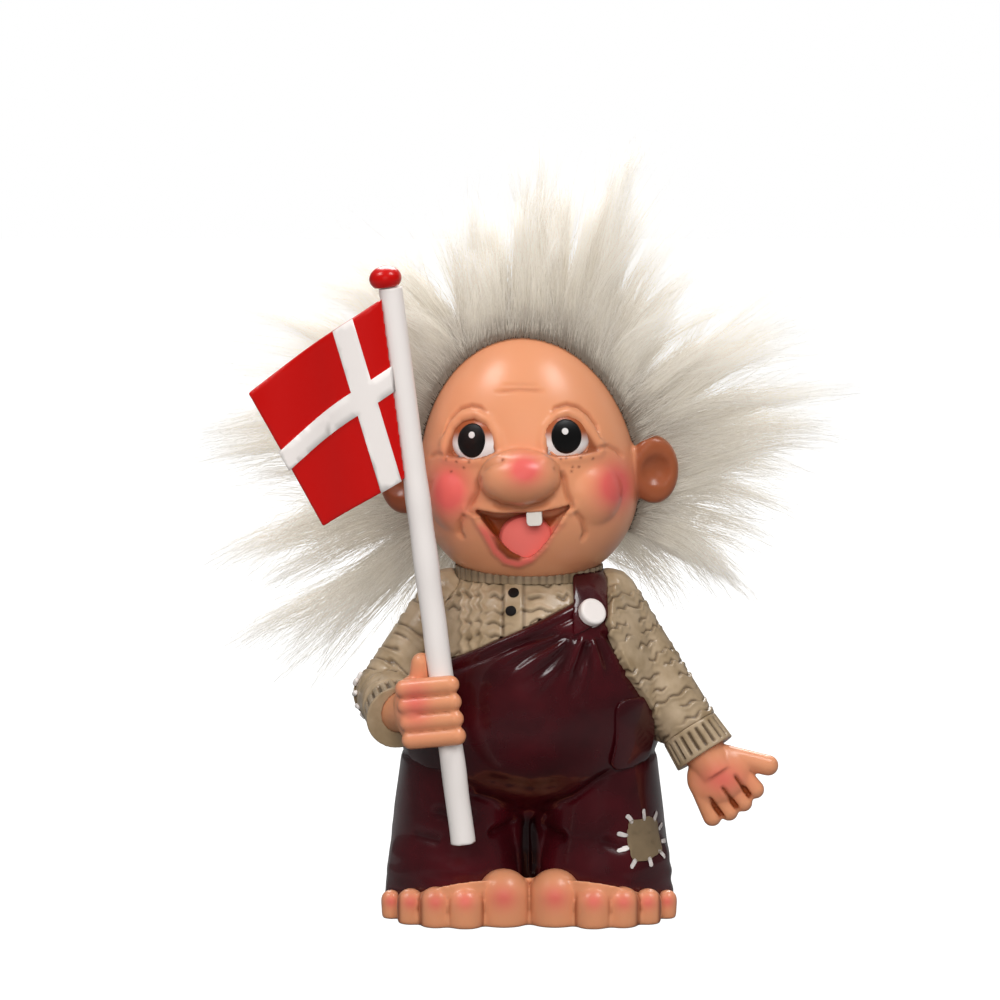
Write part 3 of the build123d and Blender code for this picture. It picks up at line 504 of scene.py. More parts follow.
LEFT_EYE_OPENING = ((4.0, 100.5), (4.3, 103.2), (4.9, 105.9), (6.2, 107.6), (8.1, 108.2), (10.3, 107.1),
                    (12.5, 104.4), (14.4, 101.5), (12.0, 100.9), (8.9, 100.4), (6.0, 100.3))
RIGHT_EYE_OPENING = ((-17.6, 100.4), (-16.9, 103.2), (-15.9, 105.8), (-14.2, 107.4), (-12.0, 107.9),
                     (-9.9, 106.7), (-8.6, 104.3), (-7.7, 101.0), (-10.0, 100.1), (-12.7, 99.9),
                     (-15.2, 100.0))
EYE_RECESS = 1.5
LID_ROLL = 0.75
LID_POUCH = 0.5
LID_BAND = (100.6, 103.0)  # heights between which the lower lid gives way to the upper one
BROW_DEPTH, BROW_WIDTH = 0.75, 0.36
BROW_FOLDS = (
    ((4.4, 108.6), (5.6, 110.6), (8.1, 111.4), (10.6, 110.9), (12.9, 109.2), (14.6, 106.9), (15.4, 103.4)),
    ((-18.9, 104.0), (-17.2, 108.2), (-15.1, 110.5), (-12.7, 111.2), (-10.6, 110.7), (-9.0, 109.2)),
)
FACE_CREASES = (
    # line, depth, half width
    (((-7.8, 114.0), (-2.4, 114.5), (3.3, 114.2)), 0.45, 0.40),
    (((-6.2, 115.6), (2.1, 115.6)), 0.18, 0.40),
    (((14.0, 101.7), (17.2, 102.3), (19.1, 101.4), (20.7, 99.8)), 0.6, 0.45),
    (((-18.2, 100.4), (-20.4, 100.6), (-22.0, 99.9)), 0.5, 0.45),
    (((-10.8, 96.0), (-11.4, 94.0), (-11.6, 92.2), (-12.8, 89.8), (-13.6, 88.2)), 0.9, 0.6),
    (((7.0, 97.2), (7.7, 94.8), (8.1, 92.3), (9.0, 89.8), (9.8, 88.6)), 0.9, 0.6),
    (((-13.9, 87.9), (-15.2, 85.6), (-15.3, 83.4), (-14.0, 82.0)), 0.7, 0.5),
    (((9.5, 88.4), (11.4, 86.2), (12.2, 83.4), (11.2, 81.2)), 0.7, 0.5),
    (((-10.9, 96.5), (-8.7, 98.1), (-5.4, 99.3)), 0.35, 0.5),
    (((5.0, 97.9), (7.0, 96.2), (7.7, 94.6)), 0.35, 0.5),
    (((-9.9, 91.6), (-6.4, 89.1), (-1.3, 88.2), (3.0, 89.5), (5.8, 91.6)), 1.0, 0.7),
)
MOUTH = ((-13.3, 88.4), (-10.7, 87.9), (-6.4, 87.3), (-2.4, 87.6), (1.5, 87.0), (5.0, 87.4), (9.2, 89.0),
         (6.3, 86.5), (4.3, 84.2), (2.4, 81.0), (-0.1, 78.3), (-2.4, 77.4), (-4.8, 78.0), (-6.9, 80.0),
         (-8.8, 83.5), (-10.8, 86.7))
UPPER_LIP = MOUTH[:7]
LOWER_LIP = MOUTH[7:]
LOWER_LIP_TOP, UPPER_LIP_FOOT = 87.0, 86.5
LOWER_LIP_SWELL, UPPER_LIP_SWELL = 0.45, 0.35
LIP_BLUSH = (86.8, 83.5)  # heights between which the lower lip turns pink
MOUTH_BACK = -4.0
MOUTH_DARK = (-20.0, -18.2)  # depths between which painted shade fills the mouth's hollow
FACE_MIDDLE = -1.0
EAR_EDGE = (23.6, 25.0)  # distances from the face's middle at which painted shade of the hair falls on the ears
FRECKLE_HALF = (0.28, 0.24)
BLUSHES = (((-1.1, 97.2), 3.6, 3.2), ((-17.6, 92.6), 4.4, 5.6), ((18.7, 93.7), 4.2, 4.9))
FRECKLES = ((-17.8, 99.4), (-17.0, 96.8), (-14.2, 97.6), (-12.9, 98.8), (-5.8, 99.3), (6.6, 99.4),
            (7.8, 99.6), (10.9, 99.7), (13.6, 99.6), (9.3, 97.8), (9.1, 96.8), (10.7, 97.8), (-15.6, 98.9))


class TROLL_OT_head(bpy.types.Operator):
    """Sculpt and paint the head"""
    bl_idname = "troll.head"
    bl_label = "Head"

    def execute(self, context):
        """Soften the cast head, then press the lids, creases and lips into it."""
        sizes = context.scene.troll_sizes
        piece = casting("head_casting", ["head"], sizes.face_cell, rounds=22)
        clay = Clay(piece)
        sheet = clay.drawn()
        front = clay.front()
        offset = np.zeros(len(sheet))
        wash_and_shade = np.zeros(len(sheet))
        for opening in (LEFT_EYE_OPENING, RIGHT_EYE_OPENING):
            depth = within(sheet, opening)
            upper = ease(*LID_BAND, sheet[:, 1])
            offset += LID_ROLL * bell(depth, -1.5, 1.0) * upper
            offset += LID_POUCH * bell(depth, -1.0, 1.0) * (1 - upper)
            offset -= EYE_RECESS * ease(-0.25, 0.35, depth)
            # Painted shade in each eye's recess and along the lid's edge.
            wash_and_shade += 0.8 * bell(depth, -0.1, 0.5) + 0.6 * ease(0.0, 0.6, depth)
        folds = tuple((fold, BROW_DEPTH, BROW_WIDTH, 0.5) for fold in BROW_FOLDS)
        lines = tuple((line, depth, width, 0.5 * depth) for line, depth, width in FACE_CREASES)
        # Each fold and crease gets wash and painted shade along its line.
        for line, depth, width, dark in folds + lines:
            mark = crease(sheet, line, width)
            offset -= depth * mark
            wash_and_shade += dark * mark
        lower, upper = (reach(sheet, line)[0] for line in (LOWER_LIP, UPPER_LIP))
        offset += LOWER_LIP_SWELL * bell(lower, 0.9, 0.8) * (sheet[:, 1] < LOWER_LIP_TOP)
        offset += UPPER_LIP_SWELL * bell(upper, 0.8, 0.7) * (sheet[:, 1] > UPPER_LIP_FOOT)
        deep = clay.at[:, 1]
        # Painted shade deep inside the open mouth.
        inside = ease(-0.4, 0.7, within(sheet, MOUTH)) * (deep < MOUTH_BACK) * ease(*MOUTH_DARK, deep)
        blush = 0.85 * bell(lower, 0.5, 1.0) * ease(*LIP_BLUSH, sheet[:, 1])
        for centre, across, up in BLUSHES:
            blush += 0.95 * np.minimum(1.0, 1.4 * spot(sheet, centre, across, up))
        freckle = np.zeros(len(sheet))
        for centre in FRECKLES:
            freckle += 0.9 * spot(sheet, centre, *FRECKLE_HALF)
        # Painted shade on the ears, where the hair shades them.
        wash_and_shade += 0.85 * ease(*EAR_EDGE, np.abs(sheet[:, 0] - FACE_MIDDLE))
        clay.push(offset * front)
        clay.paint("blush", blush * ease(0.0, 0.3, front))
        clay.paint("wash_and_shade", wash_and_shade * front + inside)
        clay.paint("freckle", freckle * front)
        dress(piece, "figure", "skin", paint("skin"), "head")
        return {"FINISHED"}


def middle(node):
    """The middle of a solid node's box, in mm."""
    low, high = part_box(node)
    return (np.array(low) + np.array(high)) / 2 / MM


EYE_BALL = (6.6, 5.4, 3.2)
EYE_SINK = 3.35
EYE_HALF = (6.4, 5.2)
EYE_SHADE = (102.4, 105.6)  # heights between which the upper lid shades the white
PUPIL_HALF = (3.5, 3.75)
GLINT_HALF = (0.72, 0.72)
GLINTS = {"left": (-0.5, 1.1), "right": (0.35, 1.2)}
GAZE_DEPTH, GAZE_DROP = 2.0, 3.0  # the eyes look out from a line in the head, this far back and below them
CAP_RINGS, CAP_STEPS = 10, 48


def cap_patch(name, centre, outward, half, lift, edge):
    """A thin oval cap lying on the flattened ball of an eye: half sizes, lift above it, edge thickness."""
    across = unit(np.cross(UP, outward))
    up = np.cross(outward, across)
    wide, tall, deep = EYE_BALL
    points, faces = [], []
    for ring in range(CAP_RINGS + 1):
        share = ring / CAP_RINGS
        for step in range(CAP_STEPS):
            turn = 2 * math.pi * step / CAP_STEPS
            a, b = half[0] * share * math.cos(turn), half[1] * share * math.sin(turn)
            rise = deep * math.sqrt(max(0.0, 1 - (a / wide) ** 2 - (b / tall) ** 2)) + lift
            points.append(centre + across * a + up * b + outward * rise)
    points += [point - outward * edge for point in points[-CAP_STEPS:]]
    for ring in range(CAP_RINGS + 1):
        near, far = ring * CAP_STEPS, (ring + 1) * CAP_STEPS
        for step in range(CAP_STEPS):
            after = (step + 1) % CAP_STEPS
            faces.append((near + step, far + step, far + after, near + after))
    faces.append(tuple(reversed(range(far, far + CAP_STEPS))))
    mesh = bpy.data.meshes.new(name)
    mesh.from_pydata([tuple(p * MM) for p in points], [], faces)
    piece = placed(name, mesh)
    open_mesh(piece)
    bpy.ops.mesh.remove_doubles(threshold=MERGE)
    bpy.ops.mesh.normals_make_consistent(inside=False)
    bpy.ops.object.mode_set(mode="OBJECT")
    return piece


class TROLL_OT_eyes(bpy.types.Operator):
    """Set the painted eyes with their pupils and glints"""
    bl_idname = "troll.eyes"
    bl_label = "Eyes"

    def execute(self, context):
        """Sink a flattened ball behind each lid and lay the pupil and the glint on it."""
        for side, (aside, above) in GLINTS.items():
            seat = middle(side + "_pupil")
            outward = unit(seat - np.array((middle("head")[0], GAZE_DEPTH, seat[2] - GAZE_DROP)))
            ball = seat - outward * EYE_SINK
            white = cap_patch(side + "_eye_ball", ball, outward, EYE_HALF, lift=0.0, edge=1.0)
            clay = Clay(white)
            # Painted shade of the upper lid on the top of each white.
            clay.paint("wash_and_shade", ease(*EYE_SHADE, clay.drawn()[:, 1]))
            dress(white, "figure", "eye_white", paint("eye_white"), side + "_eye")
            pupil = cap_patch(side + "_pupil_paint", ball, outward, PUPIL_HALF, lift=0.10, edge=0.4)
            dress(pupil, "figure", "black_paint", paint("black"), side + "_pupil")
            shifted = ball + unit(np.cross(UP, outward)) * aside + UP * above
            dot = cap_patch(side + "_glint", shifted, outward, GLINT_HALF, lift=0.16, edge=0.3)
            dress(dot, "figure", "eye_white", paint("eye_white"))
        return {"FINISHED"}


TONGUE_SPREAD, TONGUE_RISE = 1.25, 1.15
TONGUE_FLAT, TONGUE_SWELL = 1.6, 0.35


class TROLL_OT_mouth(bpy.types.Operator):
    """Shape the tongue and the single tooth"""
    bl_idname = "troll.mouth"
    bl_label = "Tongue and tooth"

    def execute(self, context):
        """Soften both castings, spread the tongue and flatten its face."""
        tongue = casting("tongue_casting", ["tongue"], cell=0.25 * MM, rounds=4)
        clay = Clay(tongue)
        centre, floor, face = middle("tongue"), clay.at[:, 2].min(), clay.at[:, 1].min()
        clay.at[:, 0] = centre[0] + TONGUE_SPREAD * (clay.at[:, 0] - centre[0])
        clay.at[:, 2] = floor + TONGUE_RISE * (clay.at[:, 2] - floor)
        clay.at[:, 1] = np.maximum(clay.at[:, 1], face + TONGUE_FLAT + TONGUE_SWELL * (clay.at[:, 1] - face))
        clay.settle()
        # Painted shade on the tongue's upward faces, under the upper lip.
        clay.paint("wash_and_shade", 0.6 * ease(0.45, 0.95, clay.out[:, 2]))
        dress(tongue, "figure", "tongue", paint("tongue"), "tongue")
        tooth = casting("tooth_casting", ["tooth"], cell=0.16 * MM, rounds=6)
        dress(tooth, "figure", "white_paint", paint("tooth"), "tooth")
        return {"FINISHED"}


# The clothes

SHOULDER = 69.0
LEFT_ARM_LINE = ((17.2, 0.0, SHOULDER), (38.7, -9.0, 36.2))
RIGHT_ARM_LINE = ((-17.2, 0.0, SHOULDER), (-31.5, -7.0, 49.5), (-28.4, -22.5, 46.4))
ARMS = (("left", LEFT_ARM_LINE, 1.0), ("right", RIGHT_ARM_LINE, 2.4))  # side, line, seed of the knit
SLEEVE_LAP = ((17.1, 71.5), (16.5, 65.0), (16.9, 60.8), (19.2, 55.8), (20.9, 52.4), (24.3, 47.3),
              (27.2, 41.5), (28.1, 37.0), (45.0, 37.0), (40.0, 50.0), (33.0, 62.0), (27.0, 73.0))
LAP_THICKNESS, LAP_LIFT = 2.4 * MM, 0.7
ARM_DEPTH, ARM_SWING = 3.0, 0.27  # the arm's back at the shoulder, and its swing forward per mm down
KNIT_SLANT = (0.8, 0.6, 0.3)
KNIT_SCALLOP, KNIT_SHIFT, KNIT_WAVE, KNIT_WANDER = 3.3, 3.2, 0.36, 0.9
KNIT_GROOVE, KNIT_LIP, KNIT_WASH_AND_SHADE = 0.45, 0.26, 0.8
BODY_SEED = 3.3
RIB_DEPTH, RIB_WASH_AND_SHADE, FEWEST_RIBS = 0.55, 0.9, 6
CABLES = (-14.6, -12.4, -10.2)
PLACKET = -3.5
COLLAR_RIBS = 2 * math.pi * 16.4 / 2.1  # the collar's girth over the step of its ribs
COLLAR_SHADE = (72.5, 76.0)  # heights between which the chin shades the collar


def lap_over(cloth):
    """The left sleeve's lap: a slab on the part of a cloth's front that lies inside the drawn outline."""
    clay = Clay(cloth)
    # It ends behind the arm, which swings forward as it goes down.
    arm_side = ARM_DEPTH - ARM_SWING * (SHOULDER - clay.at[:, 2])
    wanted = (within(clay.drawn(), SLEEVE_LAP) > 0) & (clay.at[:, 1] < arm_side)
    faces = [tuple(face.vertices) for face in cloth.data.polygons if all(wanted[v] for v in face.vertices)]
    used = sorted({v for face in faces for v in face})
    place = {v: i for i, v in enumerate(used)}
    mesh = bpy.data.meshes.new("sleeve_lap")
    mesh.from_pydata([tuple(p) for p in clay.at[used] * MM], [],
                     [tuple(place[v] for v in face) for face in faces])
    piece = placed("sleeve_lap", mesh)
    modify(piece, "SOLIDIFY", thickness=LAP_THICKNESS, offset=LAP_LIFT)
    return piece


def knit(at, run, across, row, seed):
    """Groove and ridge of scalloped knit rows: how deep, and how much wash and painted shade lies in them."""
    phase = 2 * math.pi * across / KNIT_SCALLOP + KNIT_SHIFT * drift(at, span=14, seed=seed)
    place = (run + KNIT_WAVE * np.sin(phase) + KNIT_WANDER * drift(at, span=11, seed=seed + 2)) / row
    off = (place - np.floor(place) - 0.5) * row
    broken = ease(-0.4, 0.1, drift(at, span=7.5, seed=seed + 4))
    groove = bell(off, 0, 0.30) * broken
    lip = bell(off, 0.75, 0.5) * broken
    return KNIT_LIP * lip - KNIT_GROOVE * groove, groove


class TROLL_OT_sweater(bpy.types.Operator):
    """Cast the knitted sweater, its sleeves, cuffs and collar"""
    bl_idname = "troll.sweater"
    bl_label = "Sweater"

    def execute(self, context):
        """Press the knit rows and the ribs into each softened casting."""
        sizes = context.scene.troll_sizes
        for side, line, seed in ARMS:
            self.sleeve(sizes, side, line, seed)
            self.cuff(sizes, side, line)
        self.trunk(sizes)
        self.collar(sizes)
        return {"FINISHED"}

    def sleeve(self, sizes, side, line, seed):
        """One sleeve, the left one with its lap over the dungarees."""
        piece = copied(side + "_sleeve_casting", [side + "_sleeve"])
        if side == "left":
            join(piece, [lap_over(bpy.data.objects["dungarees_casting"])])
        reskin(piece, sizes.fine_cell, rounds=10)
        clay = Clay(piece)
        run = reach(clay.at, line)[1]
        depth, wash_and_shade = knit(clay.at, run, clay.at @ np.array(KNIT_SLANT), sizes.knit_row / MM, seed)
        clay.push(depth)
        # Wash and painted shade in the knit's grooves.
        clay.paint("wash_and_shade", KNIT_WASH_AND_SHADE * wash_and_shade)
        dress(piece, "figure", "sweater", paint("sweater"), side + "_sleeve")

    def cuff(self, sizes, side, line):
        """One cuff: slots between ribs that run along the arm, closed by a rim at both ends."""
        piece = casting(side + "_cuff_casting", [side + "_cuff"], sizes.fine_cell * 0.8, rounds=4)
        clay = Clay(piece)
        way = unit(np.array(line[-1]) - np.array(line[-2]))
        flat = unit(np.cross(way, (0.0, 1.0, 0.2)))
        spread = clay.at - clay.at.mean(axis=0)
        over, level = spread @ np.cross(way, flat), spread @ flat
        rim = np.hypot(over, level)
        girth = 2 * math.pi * np.percentile(rim, 80)
        count = max(FEWEST_RIBS, round(girth / (sizes.rib_step / MM)))
        run = clay.at @ way
        share = (run - run.min()) / np.ptp(run)
        slot = ease(0.1, 0.75, np.cos(count * np.arctan2(over, level)))
        slot *= ease(0.10, 0.2, share) * ease(0.92, 0.8, share)
        slot *= ease(0.75, 0.92, rim / np.percentile(rim, 92))
        clay.push(-RIB_DEPTH * slot)
        # Wash and painted shade in the slots between the ribs.
        clay.paint("wash_and_shade", RIB_WASH_AND_SHADE * slot)
        dress(piece, "figure", "sweater", paint("sweater"), side + "_cuff")

    def trunk(self, sizes):
        """The knit of the trunk with its cables, and the smooth placket of the buttons."""
        piece = casting("sweater_body_casting", ["sweater_body"], sizes.fine_cell * 1.2, rounds=6)
        clay = Clay(piece)
        across, up = clay.drawn().T
        depth, wash_and_shade = knit(clay.at, up, across, sizes.knit_row / MM, BODY_SEED)
        for column in CABLES:
            cable = bell(across - column, 0.35 * np.sin(up * 2.2), 0.5)
            depth = depth * (1 - 0.8 * cable) + 0.5 * cable
            wash_and_shade = wash_and_shade * (1 - cable)
        off = np.abs(across - PLACKET)
        placket = ease(2.4, 1.9, off) * clay.front()
        seam = bell(off, 2.3, 0.35) * clay.front()
        clay.push(depth * (1 - 0.85 * placket) + 0.35 * placket - 0.4 * seam)
        # Wash and painted shade in the knit's grooves and along the placket's seams.
        clay.paint("wash_and_shade", KNIT_WASH_AND_SHADE * wash_and_shade * (1 - 0.7 * placket) + 0.6 * seam)
        dress(piece, "figure", "sweater", paint("sweater"), "sweater_body")

    def collar(self, sizes):
        """The ribbed collar, with wash and painted shade in its ribs and painted shade under the chin."""
        piece = casting("collar_casting", ["collar"], sizes.fine_cell, rounds=5)
        clay = Clay(piece)
        slot = ease(0.2, 0.8, np.cos(COLLAR_RIBS * np.arctan2(clay.at[:, 1], clay.at[:, 0])))
        clay.push(-0.14 * slot)
        clay.paint("wash_and_shade", 0.22 * slot + 0.55 * ease(*COLLAR_SHADE, clay.at[:, 2]))
        dress(piece, "figure", "sweater", paint("sweater"), "collar")


BIB_EDGE = ((0.0, 0.0, 66.0), (-0.44, 0.0, 1.0))
BUTTON_SPOT = (13.0, 65.2)
PLEATS = (
    # clock angle from straight down towards the figure's right, start, length, depth
    (-38, 4.0, 9.0, 0.45), (-20, 4.2, 12.0, 0.6), (-4, 4.5, 10.5, 0.6), (12, 4.5, 16.0, 0.75),
    (27, 4.2, 12.0, 0.7), (42, 4.5, 18.0, 0.8), (56, 5.0, 21.0, 0.7), (68, 6.0, 22.0, 0.55),
)
TROUSER_CREASES = (
    # line, depth, half width
    (((-3.0, 23.2), (-7.4, 24.6), (-13.2, 26.4)), 0.7, 0.8),
    (((1.8, 22.8), (9.6, 25.3), (14.0, 28.4), (18.6, 31.6)), 0.8, 0.8),
    (((-1.4, 21.0), (-4.4, 19.0), (-9.2, 17.2)), 0.9, 1.0),
    (((0.9, 21.2), (3.5, 18.3), (8.6, 16.2)), 0.9, 1.0),
    (((-12.0, 30.2), (0.0, 28.0), (9.0, 28.6)), 0.35, 1.6),
    (((15.4, 16.0), (19.4, 14.4), (22.0, 14.6)), 0.5, 1.2),
    (((-22.0, 22.4), (-16.0, 20.8), (-11.0, 21.6)), 0.6, 1.3),
    (((-26.0, 17.2), (-19.0, 15.6)), 0.5, 1.1),
    (((0.6, 21.0), (0.9, 14.0), (1.0, 8.0)), 0.8, 0.8),
)


HEM_FLARE, HEM_BAND = 1.3, (19, 11)  # how far the legs flare, and the heights between which they do
CLEFT_HALF, CLEFT_BAND = (2.6, 1.4), (24.0, 21.0)  # where across and where up painted shade fills the cleft
SLACK_DEPTH, SLACK_BAND = 0.22, (26, 8)
UNEVENNESS = 0.25
TRIMMINGS = (
    # piece, node, mesh spacing, rounds of softening, unevenness, its span and its seed
    ("strap_casting", "shoulder_strap", 0.4, 4, 0.18, 7, 0.4),
    ("left_pocket_casting", "left_pocket", 0.34, 5, 0.2, 11, 0.9),
    ("right_pocket_casting", "right_pocket", 0.34, 5, 0.2, 11, 0.9),
)


def pleats(sheet):
    """Relief, wash and painted shade of the pleats that fan out from the strap's button."""
    offset, wash_and_shade = np.zeros(len(sheet)), np.zeros(len(sheet))
    rel = sheet - np.array(BUTTON_SPOT)
    for angle, start, length, depth in PLEATS:
        turn = math.radians(angle)
        way = np.array((-math.sin(turn), -math.cos(turn)))
        run = rel @ way
        off = rel @ np.array((-way[1], way[0])) - 0.5 * np.sin(run / 3.2 + angle)
        share = np.clip((run - start) / length, 0, 1)
        alive = ease(0, 0.12, share) * ease(1.0, 0.45, share) * (run > start)
        width = 0.7 + 0.9 * share
        fold = bell(off, 0, width) * alive
        offset += depth * (0.8 * bell(off, 1.5 * width, width) * alive - fold)
        wash_and_shade += 0.5 * fold
    return offset, wash_and_shade


class TROLL_OT_dungarees(bpy.types.Operator):
    """Cast the dungarees with their strap and pockets"""
    bl_idname = "troll.dungarees"
    bl_label = "Dungarees"

    def execute(self, context):
        """Skin the trunk and legs, trim them at the bib's edge, then press in the pleats and folds."""
        cell = context.scene.troll_sizes.cloth_cell
        edge, slope = BIB_EDGE
        piece = casting("dungarees_casting", ["dungarees", "sweater_body"], cell, rounds=2)
        open_mesh(piece)
        bpy.ops.mesh.bisect(plane_co=[v * MM for v in edge], plane_no=slope, use_fill=True, clear_outer=True)
        bpy.ops.object.mode_set(mode="OBJECT")
        reskin(piece, cell, rounds=5)
        clay = Clay(piece)
        sheet, front = clay.drawn(), clay.front()
        offset, wash_and_shade = (part * front for part in pleats(sheet))
        below = -(clay.at - np.array(edge)) @ unit(np.array(slope))
        offset += 0.35 * bell(below, 0.9, 0.8) - 0.4 * bell(below, 2.4, 0.45)
        # Each crease gets wash and painted shade.
        for line, depth, width in TROUSER_CREASES:
            mark = crease(sheet, line, width) * front
            offset -= depth * mark
            wash_and_shade += 0.35 * mark
        # The trouser legs flare a little towards the hem, and painted shade fills the cleft between them.
        aside, up = np.abs(clay.at[:, 0]), clay.at[:, 2]
        offset += HEM_FLARE * ease(*HEM_BAND, up) * front * ease(1.5, 4.0, aside)
        wash_and_shade += ease(*CLEFT_HALF, aside) * ease(*CLEFT_BAND, up)
        # Slack folds go round the lower legs, and the whole cloth is a little uneven.
        slack = ease(*SLACK_BAND, up) * np.sin(up * 1.15 + 1.6 * drift(clay.at, span=17, seed=5.0))
        offset += SLACK_DEPTH * slack * drift(clay.at, span=24, seed=1.4)
        offset += UNEVENNESS * drift(clay.at, span=21, seed=0.6)
        clay.push(offset)
        clay.paint("wash_and_shade", wash_and_shade)
        dress(piece, "figure", "dungarees", paint("dungarees"), "dungarees")
        for name, node, fine, rounds, rough, span, seed in TRIMMINGS:
            piece = casting(name, [node], fine * MM, rounds)
            clay = Clay(piece)
            clay.push(rough * drift(clay.at, span, seed))
            clay.paint("wash_and_shade", np.zeros(len(clay.at)))
            dress(piece, "figure", "dungarees", paint("dungarees"), node)
        return {"FINISHED"}


# Hands and feet

PALM_BLUSH = ((42.4, 29.4), 5.2, 3.8)
FIST_BLUSH = ((-24.6, 46.8), 3.2, 5.2)
FINGER_CLEFTS = (((43.0, 20.2), (39.2, 25.6)), ((46.2, 22.2), (42.0, 28.0)), ((49.0, 24.8), (44.8, 30.6)))
CLEFT_DEPTH, CLEFT_WIDTH = 0.9, 0.42
TOES = (
    # of one foot, big toe first: middle across and back, radius, height and size of the blush
    (5.6, -18.2, 5.9, 3.9, 2.9), (14.0, -21.8, 4.1, 3.3, 2.2), (20.5, -21.1, 3.6, 3.0, 2.0),
    (26.0, -17.9, 3.0, 2.7, 1.8), (30.4, -12.2, 2.2, 2.4, 1.5),
)
TOE_BLUSHES = tuple(((side * x, up), size, 0.9 * size) for side in (-1, 1) for x, _, _, up, size in TOES)
SKIN_HOLLOW = (0.04, 0.22)  # depths between which a hollow fills with wash and painted shade
TOE_CLEFTS = (0.0, 10.0, 17.6, 23.7, 28.6)
TOE_ROUNDING = (3.6, 2.0)  # height below which the toes are rounded off, and over which it sets in


def valley(piece, clay, rounds):
    """How hollow the surface is at each point: used for the wash and painted shade that stay in clefts and
    hollows.
    """
    edges = np.empty(len(piece.data.edges) * 2, dtype=np.int32)
    piece.data.edges.foreach_get("vertices", edges)
    first, second = edges.reshape(-1, 2).T
    count = np.bincount(first, minlength=len(clay.at)) + np.bincount(second, minlength=len(clay.at))
    smooth = clay.at.copy()
    for _ in range(rounds):
        total = np.zeros_like(smooth)
        np.add.at(total, first, smooth[second])
        np.add.at(total, second, smooth[first])
        smooth = total / count[:, None]
    return np.einsum("ij,ij->i", smooth - clay.at, clay.out)


class TROLL_OT_hands_and_feet(bpy.types.Operator):
    """Cast the open hand, the fist and the bare feet"""
    bl_idname = "troll.hands_and_feet"
    bl_label = "Hands and feet"

    def execute(self, context):
        """Soften each casting, press in its clefts and airbrush its blush."""
        cell = context.scene.troll_sizes.fine_cell
        for node, name, rounds, marks in (("left_hand", "open_hand_casting", 9, (PALM_BLUSH,)),
                                          ("right_hand", "fist_casting", 5, (FIST_BLUSH,)),
                                          ("feet", "feet_casting", 6, TOE_BLUSHES)):
            piece = casting(name, [node], cell, rounds)
            if node == "feet":
                self.round_off(piece)
            clay = Clay(piece)
            sheet, front = clay.drawn(), clay.front()
            shade = np.zeros(len(sheet))
            if node == "feet":
                shade = self.toe_shade(clay)
            elif node == "left_hand":
                clefts = sum(crease(sheet, line, CLEFT_WIDTH) for line in FINGER_CLEFTS) * front
                clay.push(-CLEFT_DEPTH * clefts)
                shade = 0.6 * clefts
            blush = np.zeros(len(sheet))
            for centre, across, up in marks:
                blush += 0.75 * spot(sheet, centre, across, up)
            clay.paint("blush", blush * front)
            hollow = valley(piece, clay, rounds=6)
            # Wash and painted shade in the hollows, and the painted shade of the clefts and the instep.
            clay.paint("wash_and_shade", 0.7 * ease(*SKIN_HOLLOW, hollow) + shade)
            clay.paint("freckle", np.zeros(len(sheet)))
            dress(piece, "figure", "skin", paint("skin"), node)
        return {"FINISHED"}

    def toe_shade(self, clay):
        """Painted shade on the instep behind the toes, and wash and painted shade in the clefts between them.
        """
        side, y, z = np.abs(clay.at[:, 0]), clay.at[:, 1], clay.at[:, 2]
        off_toe = np.min([np.hypot(side - x, y - back) - radius for x, back, radius, _, _ in TOES], axis=0)
        instep = ease(0.15, 1.0, off_toe) * ease(4.5, 6.5, z)
        cleft = np.max([bell(side, x, 0.5) for x in TOE_CLEFTS], axis=0)
        return 0.9 * instep + 0.75 * cleft * ease(0.4, 0.9, np.abs(clay.out[:, 0])) * clay.front()

    def round_off(self, piece):
        """Round the toes off towards the floor."""
        top, band = TOE_ROUNDING
        low = piece.vertex_groups.new(name="low")
        for vertex in piece.data.vertices:
            height = vertex.co.z / MM
            if height < top:
                low.add([vertex.index], min(1.0, (top - height) / band), "REPLACE")
        modify(piece, "SMOOTH", factor=0.6, iterations=45, vertex_group="low")


# Trim, staff and flag

KNEE_SCALE = {"knee_patch": (1.22, 1.0, 0.98), "knee_stitches": (0.95, 1.0, 0.82)}
KNEE_SHIFT = (-0.9, 0.0, 0.0)
KNEE_ROUNDING = 3.0  # 2 rounds the patch to an oval, a large number leaves it square
KNEE_FRAY = 0.35
KNEE_LIFT = 0.2 * MM
TRIM = (
    # node, mesh spacing, rounds of softening, slot, paint
    ("knee_patch", 0.26, 4, "patch", "patch"),
    ("elbow_patch", 0.26, 4, "patch", "patch"),
    ("knee_stitches", 0.14, 3, "white_paint", "white"),
    ("elbow_stitches", 0.14, 3, "white_paint", "white"),
    ("strap_button", 0.2, 5, "white_paint", "white"),
    ("shirt_buttons", 0.12, 4, "black_paint", "black"),
)


